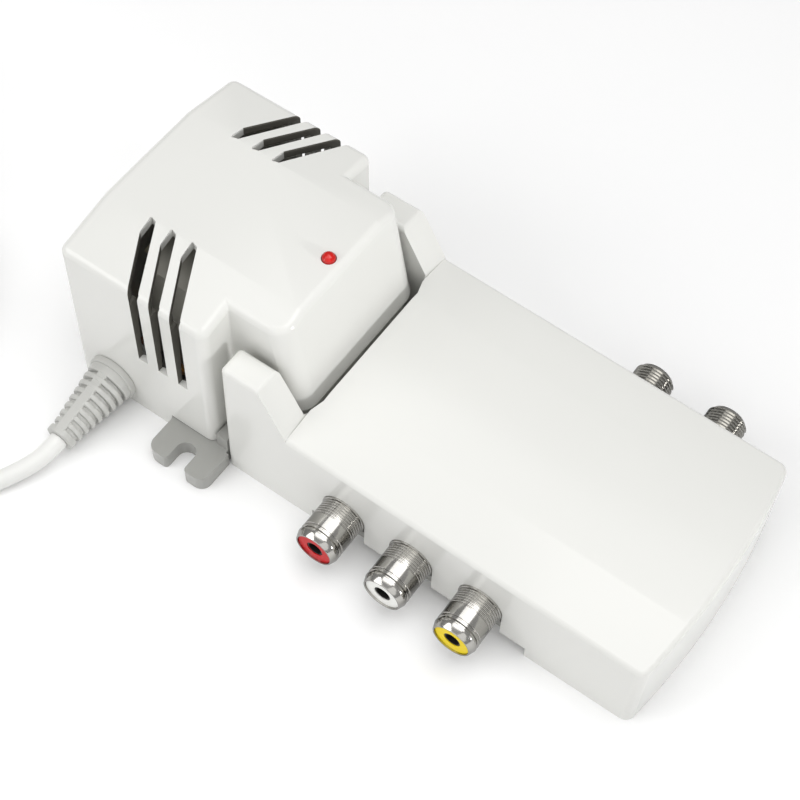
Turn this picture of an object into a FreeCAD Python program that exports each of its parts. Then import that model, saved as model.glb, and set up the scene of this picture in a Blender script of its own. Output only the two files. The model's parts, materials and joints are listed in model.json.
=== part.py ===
import FreeCAD, Part
import Sketcher
import math
import os

# A small mains-powered TV modulator: tall power-supply hood, long low slab, screw-on base tray.
# Millimetres. x runs from the hood end wall, y from the middle plane (front is negative, the side
# with the phono sockets and the mains lead), z from the underside. Every sub-part is moved by half the
# side length in its Placement, so the model's origin is the middle of the underside.

Vector = FreeCAD.Vector

# Driving sizes: name and value
sizeTable = [
    # Whole case
    ("sideLength", 146.1),
    ("halfWidth", 29.1),
    ("wallDraft", 0.4),
    ("wall", 2.2),
    ("fitGap", 0.3),
    # Hood over the power supply
    ("hoodLength", 39.0),
    ("hoodEdgeHeight", 45.7),
    ("hoodCrownRise", 3.4),
    ("hoodCrease", 13.5),
    ("endDraft", 0.7),
    ("neckHalfWidth", 20.6),
    ("neckTopLength", 52.6),
    ("neckFootLength", 57.1),
    ("neckFootHeight", 24.5),
    ("neckCornerRadius", 4.5),
    ("hoodCornerRadius", 2.2),
    ("hoodEdgeRadius", 2.0),
    ("ventStart", 13.3),
    ("ventPitch", 5.45),
    ("ventSweep", 7.5),
    ("ventWidth", 2.3),
    ("ventInner", 13.2),
    ("ventLow", 21.0),
    # Slab over the modulator
    ("lugStart", 42.5),
    ("lugTopEnd", 52.1),
    ("lugInner", 22.0),
    ("lugHeight", 37.8),
    ("lugEdgeRadius", 1.2),
    ("slabStart", 58.9),
    ("slabNoseGap", 2.8),
    ("slabNoseHalf", 17.0),
    ("slabEdgeHeight", 25.3),
    ("slabEndHeight", 22.9),
    ("slabCrownRise", 1.5),
    ("slabCrease", 14.8),
    ("slabEndBow", 2.4),
    ("slabEdgeRadius", 1.2),
    ("slabCornerRadius", 2.5),
    ("skirtStart", 65.6),
    ("skirtEnd", 120.6),
    ("skirtRise", 3.3),
    # Base tray
    ("floorThickness", 2.5),
    ("seatHeight", 4.4),
    ("earStart", 27.1),
    ("earEnd", 42.9),
    ("earReach", 38.8),
    ("earThickness", 4.4),
    ("earChamfer", 1.5),
    ("earSlotX", 34.9),
    ("earSlotWidth", 4.8),
    ("earSlotEnd", 34.9),
    ("bridgeHeight", 8.5),
    # Screws and their posts
    ("postRadius", 3.2),
    ("postInset", 2.6),
    ("postHeight", 18.0),
    ("screwRadius", 1.25),
    ("screwHeadRadius", 1.9),
    ("screwHeadHeight", 1.7),
    ("screwLength", 10.0),
    # Phono sockets
    ("phonoStart", 74.0),
    ("phonoPitch", 17.4),
    ("phonoHeight", 10.6),
    ("phonoRadius", 5.1),
    ("phonoTip", 39.9),
    ("phonoInsertRadius", 4.2),
    ("phonoBoreRadius", 2.0),
    ("socketFlangeRadius", 5.9),
    ("socketFlangeThickness", 1.4),
    # Aerial sockets with the 3/8 inch thread
    ("aerialStart", 109.8),
    ("aerialPitch", 18.4),
    ("aerialHeight", 11.0),
    ("aerialRadius", 4.76),
    ("aerialTip", 38.9),
    ("aerialBoreRadius", 3.5),
    ("aerialContactRadius", 1.3),
    # Screwdriver adjusters behind the back wall
    ("channelX", 81.1),
    ("levelX", 94.1),
    ("adjusterHeight", 13.2),
    ("rotorRadius", 2.2),
    ("rotorShaftRadius", 1.2),
    ("rotorGap", 0.15),
    ("adjusterHoleRadius", 2.6),
    ("adjusterHalf", 5.0),
    ("adjusterDepth", 7.0),
    # Screened can and its board
    ("canStart", 68.3),
    ("canEndGap", 9.6),
    ("canSideGap", 4.5),
    ("canSheet", 0.6),
    ("canTop", 19.4),
    ("boardThickness", 1.6),
    ("canBoardHeight", 4.8),
    # Power supply
    ("supplyBoardHeight", 6.5),
    ("supplyBoardStart", 3.8),
    ("supplyBoardHalf", 20.6),
    ("supplyBoardNeckHalf", 17.6),
    ("coreCentreX", 22.4),
    ("coreStack", 14.8),
    ("coreWidth", 38.4),
    ("coreHeight", 32.0),
    ("coreLeg", 6.4),
    ("windingDepth", 5.9),
    ("lampX", 48.9),
    ("lampRadius", 1.5),
    ("leadY", 9.0),
    ("leadHeight", 11.0),
    ("leadRadius", 1.4),
    # Mains lead
    ("glandX", 10.6),
    ("glandHeight", 6.3),
    ("glandBaseRadius", 6.1),
    ("glandTipRadius", 3.5),
    ("glandLength", 19.4),
    ("glandDroop", 5.5),
    ("glandNeckRadius", 4.2),
    ("glandCoreRadius", 2.7),
    ("glandSpineHalf", 1.0),
    ("glandSlotWidth", 0.8),
    ("glandSlotPitch", 1.55),
    ("glandSlotCount", 9),
    ("cordDiameter", 4.2),
    ("coilRadius", 35.5),
    ("coilStep", 4.75),
    ("coilTurnsPerLayer", 4.25),
    ("coilExitRadius", 17.0),
    ("plugLength", 34.0),
    ("plugHalfWidth", 12.0),
    ("plugThickness", 13.7),
    ("pinRadius", 2.0),
    ("pinSpacing", 18.6),
    ("pinLength", 19.0),
]

doc = FreeCAD.newDocument("tv_modulator")
sheet = doc.addObject("Spreadsheet::Sheet", "sizes")
for row, (name, value) in enumerate(sizeTable, 1):
    sheet.set("A%d" % row, name)
    sheet.set("B%d" % row, str(value))
    sheet.setAlias("B%d" % row, name)
doc.recompute()


class Size:
    # A value of the sheet, or a sum of such values, with the expression that ties a property to it
    def __init__(self, value, text):
        self.value = float(value)
        self.text = text

    def join(self, other, sign, value):
        return Size(value, "(%s %s %s)" % (self.text, sign, text(other)))

    def __add__(self, other):
        return self.join(other, "+", self.value + number(other))

    def __sub__(self, other):
        return self.join(other, "-", self.value - number(other))

    def __mul__(self, other):
        return self.join(other, "*", self.value * number(other))

    def __truediv__(self, other):
        return self.join(other, "/", self.value / number(other))

    def __radd__(self, other):
        return self + other

    def __rmul__(self, other):
        return self * other

    def __rsub__(self, other):
        return (self * -1) + other

    def __neg__(self):
        return self * -1

    def __float__(self):
        return self.value


def number(amount):
    return float(amount)


def text(amount):
    return amount.text if isinstance(amount, Size) else "(%s)" % float(amount)


class Sizes:
    pass


size = Sizes()
for name, value in sizeTable:
    setattr(size, name, Size(value, "sizes." + name))

half = size.sideLength / 2
canEnd = size.sideLength - size.canEndGap
canHalfWidth = size.halfWidth - size.canSideGap
footHalf = size.halfWidth + size.wallDraft
subParts = []


def bind(thing, path, amount):
    thing.setExpression(path, text(amount))


def place(thing, x, y, z):
    bind(thing, "Placement.Base.x", x)
    bind(thing, "Placement.Base.y", y)
    bind(thing, "Placement.Base.z", z)


def keep(thing, label):
    thing.Label = label
    subParts.append(thing)
    return thing


# Sketches and features of the moulded and turned pieces
def newBody(label, x=-half, y=0, z=0):
    body = doc.addObject("PartDesign::Body", label + "_body")
    place(body, x, y, z)
    return body


def plane(body, role):
    return [item for item in body.Origin.OriginFeatures if item.Role == role][0]


def draw(body, role, offset, loops):
    sketch = body.newObject("Sketcher::SketchObject", "outline")
    sketch.AttachmentSupport = [(plane(body, role), "")]
    sketch.MapMode = "FlatFace"
    bind(sketch, "AttachmentOffset.Base.z", offset)
    for loop in loops:
        if loop[0] == "circle":
            addCircle(sketch, *loop[1:])
        else:
            addPolygon(sketch, loop)
    return sketch


def addCircle(sketch, x, y, radius):
    centre = Vector(number(x), number(y), 0)
    curve = sketch.addGeometry(Part.Circle(centre, Vector(0, 0, 1), number(radius)), False)
    fix(sketch, Sketcher.Constraint("Radius", curve, number(radius)), radius)
    fix(sketch, Sketcher.Constraint("DistanceX", -1, 1, curve, 3, number(x)), x)
    fix(sketch, Sketcher.Constraint("DistanceY", -1, 1, curve, 3, number(y)), y)


def addPolygon(sketch, points):
    count = len(points)
    first = sketch.GeometryCount
    for index in range(count):
        start = points[index]
        end = points[(index + 1) % count]
        line = Part.LineSegment(Vector(number(start[0]), number(start[1]), 0),
                                Vector(number(end[0]), number(end[1]), 0))
        sketch.addGeometry(line, False)
    for index in range(count):
        following = first + (index + 1) % count
        sketch.addConstraint(Sketcher.Constraint("Coincident", first + index, 2, following, 1))
    for index, (x, y) in enumerate(points):
        fix(sketch, Sketcher.Constraint("DistanceX", -1, 1, first + index, 1, number(x)), x)
        fix(sketch, Sketcher.Constraint("DistanceY", -1, 1, first + index, 1, number(y)), y)


def fix(sketch, constraint, amount):
    index = sketch.addConstraint(constraint)
    if isinstance(amount, Size):
        bind(sketch, "Constraints[%d]" % index, amount)


def extrude(body, kind, role, offset, length, loops):
    sketch = draw(body, role, offset, loops)
    feature = body.newObject(kind, "feature")
    feature.Profile = sketch
    bind(feature, "Length", length)
    return feature


def padUp(body, loops, bottom, top):
    return extrude(body, "PartDesign::Pad", "XY_Plane", bottom, top - bottom, loops)


def padForward(body, loops, back, front):
    return extrude(body, "PartDesign::Pad", "XZ_Plane", 0 - back, back - front, loops)


def padRight(body, loops, left, right):
    return extrude(body, "PartDesign::Pad", "YZ_Plane", left, right - left, loops)


def cutDown(body, loops, top, bottom):
    return extrude(body, "PartDesign::Pocket", "XY_Plane", top, top - bottom, loops)


def cutBack(body, loops, front, back):
    return extrude(body, "PartDesign::Pocket", "XZ_Plane", 0 - front, back - front, loops)


def cutLeft(body, loops, right, left):
    return extrude(body, "PartDesign::Pocket", "YZ_Plane", right, right - left, loops)


def rectangle(x0, x1, y0, y1):
    return [(x0, y0), (x1, y0), (x1, y1), (x0, y1)]


def mirrored(points):
    return [points, [(x, 0 - y) for x, y in points]]


def spin(body, points, kind="PartDesign::Revolution"):
    # Turns an outline of (radius, y) points about the body's y axis
    sketch = draw(body, "XY_Plane", 0, [points])
    feature = body.newObject(kind, "turned")
    feature.Profile = sketch
    feature.ReferenceAxis = (sketch, ["V_Axis"])
    feature.Angle = 360
    return feature


def middle(edge):
    return edge.valueAt((edge.FirstParameter + edge.LastParameter) / 2)


def roundEdges(body, radius, wanted):
    doc.recompute()
    base = body.Tip
    names = []
    for index, edge in enumerate(base.Shape.Edges, 1):
        if wanted(middle(edge), edge):
            names.append("Edge%d" % index)
    fillet = body.newObject("PartDesign::Fillet", "rounding")
    fillet.Base = (base, names)
    bind(fillet, "Radius", radius)
    doc.recompute()
    print("rounded", body.Name, len(names), "edges, state", fillet.State)
    return fillet


def hollow(body, thickness):
    # Opens the underside and leaves a wall of even thickness inside the outline
    doc.recompute()
    base = body.Tip
    low = min(range(len(base.Shape.Faces)), key=lambda i: base.Shape.Faces[i].CenterOfMass.z)
    shell = body.newObject("PartDesign::Thickness", "shell")
    shell.Base = (base, ["Face%d" % (low + 1)])
    bind(shell, "Value", thickness)
    shell.Reversed = True
    shell.Join = "Arc"
    doc.recompute()
    print("hollow", body.Name, round(base.Shape.Volume), "to", round(shell.Shape.Volume), shell.State)
    return shell


def near(value, target, reach=0.35):
    return abs(value - number(target)) < reach


# Blocks and rods
def block(x0, x1, y0, y1, z0, z1):
    box = doc.addObject("Part::Box", "block")
    bind(box, "Length", x1 - x0)
    bind(box, "Width", y1 - y0)
    bind(box, "Height", z1 - z0)
    place(box, x0, y0, z0)
    return box


turns = {
    "x": FreeCAD.Rotation(Vector(0, 1, 0), 90),
    "y": FreeCAD.Rotation(Vector(1, 0, 0), -90),
    "z": FreeCAD.Rotation(),
}


def rod(axis, x, y, z, radius, length):
    # A cylinder that starts at (x, y, z) and runs towards the positive side of its axis
    cylinder = doc.addObject("Part::Cylinder", "rod")
    bind(cylinder, "Radius", radius)
    bind(cylinder, "Height", length)
    cylinder.Placement = FreeCAD.Placement(Vector(0, 0, 0), turns[axis])
    place(cylinder, x, y, z)
    return cylinder


def group(label, pieces):
    compound = doc.addObject("Part::Compound", label + "_group")
    compound.Links = pieces
    place(compound, -half, 0, 0)
    return keep(compound, label)


def fused(pieces):
    union = doc.addObject("Part::MultiFuse", "union")
    union.Shapes = pieces
    return union


def cut(base, tool):
    result = doc.addObject("Part::Cut", "cut")
    result.Base = base
    result.Tool = tool
    return result


def finish(thing, label):
    place(thing, -half, 0, 0)
    return keep(thing, label)


# Places that several pieces share
floorTop = size.floorThickness
innerHalf = footHalf - size.wall
slabNose = size.neckFootLength + size.slabNoseGap
farEnd = size.sideLength + size.slabEndBow
postY = size.halfWidth - size.wall - size.postInset
hoodPosts = [
    (size.endDraft + size.wall + size.postInset, postY),
    (size.hoodLength - size.wall - size.fitGap - size.postInset, postY),
    (size.hoodLength - size.wall - size.fitGap - size.postInset, -postY),
]
slabPosts = []
for sign in (-1, 1):
    slabPosts.append((slabNose + size.wall + size.postInset, postY * sign))
    slabPosts.append((size.sideLength - size.wall - size.postInset, postY * sign))
phonoX = [size.phonoStart + size.phonoPitch * index for index in range(3)]
aerialX = [size.aerialStart + size.aerialPitch * index for index in range(2)]
adjusterX = [size.channelX, size.levelX]
leadNotchHalf = size.leadRadius + 2 * size.fitGap

# Hood: side view, crowned roof in three facets, narrower neck with a leaning nose
hood = newBody("psu_hood")
crown = size.hoodEdgeHeight + size.hoodCrownRise
padForward(hood, [[
    (0, 0),
    (size.neckFootLength, 0),
    (size.neckFootLength, size.neckFootHeight),
    (size.neckTopLength, crown),
    (size.endDraft, crown),
]], footHalf, -footHalf)
roofCut = []
for sign in (-1, 1):
    roofCut.append([
        (size.hoodCrease * sign, crown),
        (size.halfWidth * sign, size.hoodEdgeHeight),
        (footHalf * sign, 0),
        ((footHalf + 5) * sign, 0),
        ((footHalf + 5) * sign, crown + 5),
        (size.hoodCrease * sign, crown + 5),
    ])
cutLeft(hood, roofCut, size.neckFootLength + 1, -1)
neckSide = rectangle(size.hoodLength, size.neckFootLength + 1, size.neckHalfWidth, footHalf + 5)
cutDown(hood, mirrored(neckSide), crown + 5, -1)
hollow(hood, size.wall)


def hoodUpright(point, edge):
    # The upright outer corners of the end wall and of the two shoulders beside the neck
    return edge.Length > 20 and abs(abs(point.y) - footHalf.value) < 0.6 and (
        point.x < 1 or near(point.x, size.hoodLength))


def neckUpright(point, edge):
    # The leaning corners of the nose
    return edge.Length > 15 and near(abs(point.y), size.neckHalfWidth) and point.x > 52


def roofRim(point, edge):
    # The rim of the roof, all the way round
    if point.z < size.hoodEdgeHeight.value - 1.2:
        return False
    onSide = near(abs(point.y), size.halfWidth) and point.x < size.hoodLength.value
    onEnd = near(point.x, size.endDraft)
    onShoulder = near(point.x, size.hoodLength) and abs(point.y) > size.neckHalfWidth.value
    onNeck = near(abs(point.y), size.neckHalfWidth) and point.x > size.hoodLength.value
    onNose = near(point.x, size.neckTopLength, 0.8)
    return onSide or onEnd or onShoulder or onNeck or onNose


roundEdges(hood, size.hoodCornerRadius, hoodUpright)
roundEdges(hood, size.neckCornerRadius, neckUpright)
roundEdges(hood, size.hoodEdgeRadius, roofRim)

# Three chevron vents on each side: slanted across the roof facet, then straight down the wall
roofVents = []
wallVents = []
for index in range(3):
    start = size.ventStart + size.ventPitch * index
    bend = start + size.ventSweep
    reach = size.ventWidth / 2
    roofVents += mirrored([
        (start - reach, size.ventInner + reach),
        (start, size.ventInner),
        (start + reach, size.ventInner + reach * 0.4),
        (bend + reach, size.halfWidth),
        (bend + reach, footHalf + 1),
        (bend - reach, footHalf + 1),
        (bend - reach, size.halfWidth),
    ])
    wallVents += mirrored(rectangle(bend - reach, bend + reach, innerHalf - 1.5, footHalf + 1))
cutDown(hood, roofVents, crown + 1, size.hoodEdgeHeight - 2 * size.wall)
cutDown(hood, wallVents, size.hoodEdgeHeight, size.ventLow)

# The neck, nose and shoulder walls stand on the tray floor, the outer walls reach the underside
footSpace = rectangle(size.wall + size.endDraft, size.neckFootLength + 1, -innerHalf, innerHalf)
cutDown(hood, [footSpace], floorTop + size.fitGap, -1)
earNotch = rectangle(size.earStart - size.fitGap, size.hoodLength + 1, -1, size.earThickness + size.fitGap)
cutBack(hood, [earNotch], -(footHalf + 1), -(innerHalf - 1))
cutBack(hood, [earNotch], innerHalf - 1, footHalf + 1)
glandHole = ("circle", size.glandX, size.glandHeight, size.glandNeckRadius + size.fitGap / 2)
cutBack(hood, [glandHole], -(footHalf + 1), -(innerHalf - 1))
cutDown(hood, [("circle", size.lampX, 0, size.lampRadius + size.fitGap / 2)], crown + 1, crown - size.wall - 1)
leadNotch = rectangle(size.leadY - leadNotchHalf, size.leadY + leadNotchHalf, 0,
                      size.leadHeight + leadNotchHalf)
cutLeft(hood, [leadNotch], size.neckFootLength + 1, size.neckFootLength - size.wall - 1)
padUp(hood, [("circle", x, y, size.postRadius) for x, y in hoodPosts], size.seatHeight, size.postHeight)
bores = [("circle", x, y, size.screwRadius + size.fitGap / 6) for x, y in hoodPosts]
cutDown(hood, bores, size.screwLength + 2 * size.fitGap, size.seatHeight - 1)
keep(hood, "psu_hood")

# Slab: crowned roof that falls towards the far end, bowed end wall, two lugs beside the neck
slab = newBody("slab_cover")
slabTopHalf = size.halfWidth - size.wallDraft * (size.lugHeight - size.slabEdgeHeight) / size.slabEdgeHeight
padUp(slab, [[
    (slabNose, -size.slabNoseHalf),
    (size.slabStart - 0.5, -size.lugInner),
    (size.slabStart - 0.5, -footHalf),
    (farEnd + 1, -footHalf),
    (farEnd + 1, footHalf),
    (size.slabStart - 0.5, footHalf),
    (size.slabStart - 0.5, size.lugInner),
    (slabNose, size.slabNoseHalf),
]], 0, size.lugHeight)
fall = (size.slabEdgeHeight - size.slabEndHeight) / (size.sideLength - size.slabStart)
crownEnd = size.slabEndHeight + size.slabCrownRise - fall * (size.slabEndBow + 2)
facetDrop = size.slabCrownRise * (size.halfWidth + 2 - size.slabCrease) / (size.halfWidth - size.slabCrease)
roofSection = [
    (-(size.halfWidth + 2), crownEnd - facetDrop),
    (-size.slabCrease, crownEnd),
    (size.slabCrease, crownEnd),
    (size.halfWidth + 2, crownEnd - facetDrop),
    (size.halfWidth + 2, size.lugHeight + 9),
    (-(size.halfWidth + 2), size.lugHeight + 9),
]
roof = cutLeft(slab, [roofSection], farEnd + 2, size.slabStart - 1)
roof.UseCustomVector = True
roof.Direction = Vector(-1, 0, number(fall))
bind(roof, "Direction.z", fall)
roof.AlongSketchNormal = True
sideCut = []
for sign in (-1, 1):
    sideCut.append([
        (footHalf * sign, 0),
        (slabTopHalf * sign, size.lugHeight),
        ((footHalf + 5) * sign, size.lugHeight),
        ((footHalf + 5) * sign, 0),
    ])
cutLeft(slab, sideCut, farEnd + 2, size.slabStart - 1)
bowRadius = size.halfWidth * size.halfWidth / (2 * size.slabEndBow) + size.slabEndBow / 2
bowCentre = farEnd - bowRadius
bow = cutDown(slab, [
    rectangle(-(farEnd + 10), -(bowCentre - bowRadius - 10), -(bowRadius + 10), bowRadius + 10),
    ("circle", -bowCentre, 0, bowRadius),
], size.lugHeight + 1, -1)
bowSketch = bow.Profile[0]
bowSketch.AttachmentOffset = FreeCAD.Placement(Vector(0, 0, 0), FreeCAD.Rotation(Vector(0, 0, 1), 180))
bind(bowSketch, "AttachmentOffset.Base.z", size.lugHeight + 1)
hollow(slab, size.wall)


def slabUpright(point, edge):
    # The two upright corners of the far end
    return near(point.x, size.sideLength, 1.5) and near(abs(point.y), size.halfWidth, 0.7) and (
        edge.Length > 10 and abs(edge.Vertexes[0].Point.z - edge.Vertexes[-1].Point.z) > 10)


def slabRim(point, edge):
    # The rim of the slab's roof along both sides and across the far end
    low = point.z < size.slabEndHeight.value - 1.5
    onSide = near(abs(point.y), size.halfWidth, 0.25) and point.x > size.slabStart.value + 1
    reach = math.hypot(point.x - bowCentre.value, point.y)
    onEnd = point.x > size.sideLength.value - size.slabCornerRadius.value and reach > bowRadius.value - 0.9
    return not low and point.z < size.slabEdgeHeight.value + 2 and edge.Length > 1 and (
        onSide or onEnd) and abs(point.x - size.slabStart.value) > 1


roundEdges(slab, size.slabCornerRadius, slabUpright)
roundEdges(slab, size.slabEdgeRadius, slabRim)

# Lugs: hollow too, level on top, with a face that slopes down to the slab's roof
lug = rectangle(size.lugStart, size.slabStart, size.lugInner, footHalf)
padUp(slab, mirrored(lug), 0, size.lugHeight)
cutBack(slab, [[
    (size.lugTopEnd, size.lugHeight),
    (size.slabStart, size.slabEdgeHeight),
    (size.slabStart, size.lugHeight + 1),
    (size.lugTopEnd, size.lugHeight + 1),
]], -(footHalf + 1), footHalf + 1)
cutLeft(slab, sideCut, size.slabStart, size.lugStart - 1)


def lugRim(point, edge):
    # The rim of each lug's level top, and its upright corners beside the hood
    outer = near(abs(point.y), size.halfWidth, 0.4)
    inner = near(abs(point.y), size.lugInner, 0.1)
    onTop = near(point.z, size.lugHeight, 0.1)
    upright = near(point.x, size.lugStart, 0.1) and edge.Length > 20 and abs(
        edge.Vertexes[0].Point.z - edge.Vertexes[-1].Point.z) > 20
    return (onTop and point.x < size.lugTopEnd.value + 0.1) or (upright and (outer or inner))


roundEdges(slab, size.lugEdgeRadius, lugRim)
lugHollow = [
    (size.lugStart + size.wall, -1),
    (size.lugStart + size.wall, size.lugHeight - size.wall),
    (size.lugTopEnd - size.wall * 0.3, size.lugHeight - size.wall),
    (size.slabStart - size.wall * 0.3, size.slabEdgeHeight - size.wall),
    (size.slabStart + size.wall + 1, size.slabEdgeHeight - size.wall),
    (size.slabStart + size.wall + 1, -1),
]
lugCavity = size.lugInner + size.wall
cutBack(slab, [lugHollow], -innerHalf, -lugCavity)
cutBack(slab, [lugHollow], lugCavity, innerHalf)


# Raised skirt under the phono sockets, open slots for the sockets, holes for the adjusters
skirt = rectangle(size.skirtStart, size.skirtEnd, -1, size.skirtRise)
cutBack(slab, [skirt], -(footHalf + 1), -(innerHalf - 1))
phonoSlots = []
phonoArches = []
for x in phonoX:
    gap = size.phonoRadius + size.fitGap
    phonoSlots.append(rectangle(x - gap, x + gap, -1, size.phonoHeight))
    phonoArches.append(("circle", x, size.phonoHeight, gap))
cutBack(slab, phonoSlots, -(footHalf + 1), -(innerHalf - 1))
cutBack(slab, phonoArches, -(footHalf + 1), -(innerHalf - 1))
aerialSlots = []
aerialArches = []
for x in aerialX:
    gap = size.aerialRadius + size.fitGap
    aerialSlots.append(rectangle(x - gap, x + gap, -1, size.aerialHeight))
    aerialArches.append(("circle", x, size.aerialHeight, gap))
cutBack(slab, aerialSlots, innerHalf - 1, footHalf + 1)
cutBack(slab, aerialArches, innerHalf - 1, footHalf + 1)
adjusterHoles = [("circle", x, size.adjusterHeight, size.adjusterHoleRadius) for x in adjusterX]
cutBack(slab, adjusterHoles, innerHalf - 1, footHalf + 1)
footSpace = rectangle(size.lugStart - 1, slabNose + size.wall + 2, -innerHalf, innerHalf)
cutDown(slab, [footSpace], floorTop + size.fitGap, -1)
cutLeft(slab, [leadNotch], slabNose + size.wall + 1, slabNose - 1)
padUp(slab, [("circle", x, y, size.postRadius) for x, y in slabPosts], size.seatHeight, size.postHeight)
bores = [("circle", x, y, size.screwRadius + size.fitGap / 6) for x, y in slabPosts]
cutDown(slab, bores, size.screwLength + 2 * size.fitGap, size.seatHeight - 1)
keep(slab, "slab_cover")

# Base tray: floor between the cover walls, screw seats, board pillars, bridges and the two ears
tray = newBody("base_tray")
trayHalf = innerHalf - size.fitGap
trayStart = size.wall + size.endDraft + size.fitGap
trayEnd = size.sideLength - size.wall - size.fitGap
padUp(tray, [rectangle(trayStart, trayEnd, -trayHalf, trayHalf)], 0, floorTop)
ear = [
    (size.earStart, trayHalf - 0.5),
    (size.earStart, size.earReach - size.earChamfer),
    (size.earStart + size.earChamfer, size.earReach),
    (size.earEnd - size.earChamfer, size.earReach),
    (size.earEnd, size.earReach - size.earChamfer),
    (size.earEnd, footHalf + size.fitGap),
    (size.lugStart - size.fitGap, footHalf + size.fitGap),
    (size.lugStart - size.fitGap, trayHalf - 0.5),
]
padUp(tray, mirrored(ear), 0, size.earThickness)
slotHalf = size.earSlotWidth / 2
earSlot = rectangle(size.earSlotX - slotHalf, size.earSlotX + slotHalf, size.earSlotEnd, size.earReach + 1)
cutDown(tray, mirrored(earSlot), size.earThickness + 1, -1)
cutDown(tray, [("circle", size.earSlotX, size.earSlotEnd * sign, slotHalf) for sign in (-1, 1)],
        size.earThickness + 1, -1)
bridge = rectangle(size.hoodLength + size.fitGap, size.lugStart - size.fitGap, size.lugInner, size.halfWidth)
padUp(tray, mirrored(bridge), 0, size.bridgeHeight)
allPosts = hoodPosts + slabPosts
padUp(tray, [("circle", x, y, size.screwHeadRadius + 0.8) for x, y in allPosts], 0, size.seatHeight)
cutDown(tray, [("circle", x, y, size.screwHeadRadius + size.fitGap) for x, y in allPosts],
        size.screwHeadHeight + size.fitGap, -1)
cutDown(tray, [("circle", x, y, size.screwRadius + size.fitGap) for x, y in allPosts], size.seatHeight + 1, -1)
boardEnd = size.neckFootLength - size.wall - 2 * size.fitGap
pillars = [
    (size.supplyBoardStart + 4, size.supplyBoardHalf - 4),
    (size.hoodLength - 6, size.supplyBoardHalf - 4),
    (size.hoodLength - 6, -(size.supplyBoardHalf - 4)),
    (boardEnd - 4, size.supplyBoardNeckHalf - 3),
]
padUp(tray, [("circle", x, y, 2.6) for x, y in pillars], 0, size.supplyBoardHeight)
cutDown(tray, [("circle", x, y, 1.0) for x, y in pillars], size.supplyBoardHeight + 1, floorTop - 1.2)
glandRecess = size.glandNeckRadius + 1.0 + size.fitGap
cutDown(tray, [rectangle(size.glandX - glandRecess, size.glandX + glandRecess, -(trayHalf + 1), -(trayHalf - 1.9))],
        floorTop + 1, size.glandHeight - glandRecess)
keep(tray, "base_tray")

# Screws that hold both covers from below
screws = []
for x, y in allPosts:
    screws.append(fused([
        rod("z", x, y, size.fitGap, size.screwHeadRadius, size.screwHeadHeight),
        rod("z", x, y, size.screwHeadHeight, size.screwRadius, size.screwLength - size.screwHeadHeight),
    ]))
group("cover_screws", screws)

# Supply board with its corner cut back behind the mains gland
boardBottom = size.supplyBoardHeight
boardTop = boardBottom + size.boardThickness
supplyBoard = newBody("psu_board")
padUp(supplyBoard, [[
    (size.glandX + size.glandBaseRadius + 2, -size.supplyBoardHalf),
    (size.hoodLength - size.wall - 1, -size.supplyBoardHalf),
    (size.hoodLength - size.wall - 1, -size.supplyBoardNeckHalf),
    (boardEnd, -size.supplyBoardNeckHalf),
    (boardEnd, size.supplyBoardNeckHalf),
    (size.hoodLength - size.wall - 1, size.supplyBoardNeckHalf),
    (size.hoodLength - size.wall - 1, size.supplyBoardHalf),
    (size.supplyBoardStart, size.supplyBoardHalf),
    (size.supplyBoardStart, -13),
    (size.glandX + size.glandBaseRadius + 2, -13),
]], boardBottom, boardTop)
cutDown(supplyBoard, [("circle", x, y, 1.4) for x, y in pillars], boardTop + 1, boardBottom - 1)
keep(supplyBoard, "psu_board")
boardScrews = []
for x, y in pillars:
    boardScrews.append(fused([
        rod("z", x, y, boardTop, 2.2, 1.4),
        rod("z", x, y, boardTop - 5.5, 0.95, 6.0),
    ]))
group("psu_board_screws", boardScrews)

# Transformer: laminated core with two windows, bobbin and winding on the middle leg
coreBottom = boardTop
coreTop = coreBottom + size.coreHeight
windowBottom = coreBottom + size.coreLeg
windowTop = coreTop - size.coreLeg
core = newBody("transformer_core")
windows = []
for sign in (-1, 1):
    windows.append(rectangle(size.coreLeg * sign, (size.coreWidth / 2 - size.coreLeg) * sign,
                             windowBottom, windowTop))
padRight(core, [rectangle(-size.coreWidth / 2, size.coreWidth / 2, coreBottom, coreTop)] + windows,
         size.coreCentreX - size.coreStack / 2, size.coreCentreX + size.coreStack / 2)
keep(core, "transformer_core")


def ring(reachX, reachY, holeX, holeY, bottom, top):
    # A rectangular frame about the middle leg
    x = size.coreCentreX
    outer = block(x - reachX, x + reachX, -reachY, reachY, bottom, top)
    inner = block(x - holeX, x + holeX, -holeY, holeY, bottom - 1, top + 1)
    return cut(outer, inner)


legX = size.coreStack / 2 + 0.2
legY = size.coreLeg + 0.2
flangeY = size.coreWidth / 2 - size.coreLeg - 0.2
flangeX = legX + size.windingDepth + 0.2
flange = 1.0
tube = 0.9
bobbin = fused([
    ring(flangeX, flangeY, legX, legY, windowBottom + 0.1, windowBottom + 0.1 + flange),
    ring(flangeX, flangeY, legX, legY, windowTop - 0.1 - flange, windowTop - 0.1),
    ring(legX + tube, legY + tube, legX, legY, windowBottom + 0.1, windowTop - 0.1),
])
finish(bobbin, "transformer_bobbin")
winding = ring(flangeX - 0.5, flangeY - 0.3, legX + tube + 0.05, legY + tube + 0.05,
               windowBottom + 0.15 + flange, windowTop - 0.15 - flange)
finish(winding, "transformer_winding")

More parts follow.
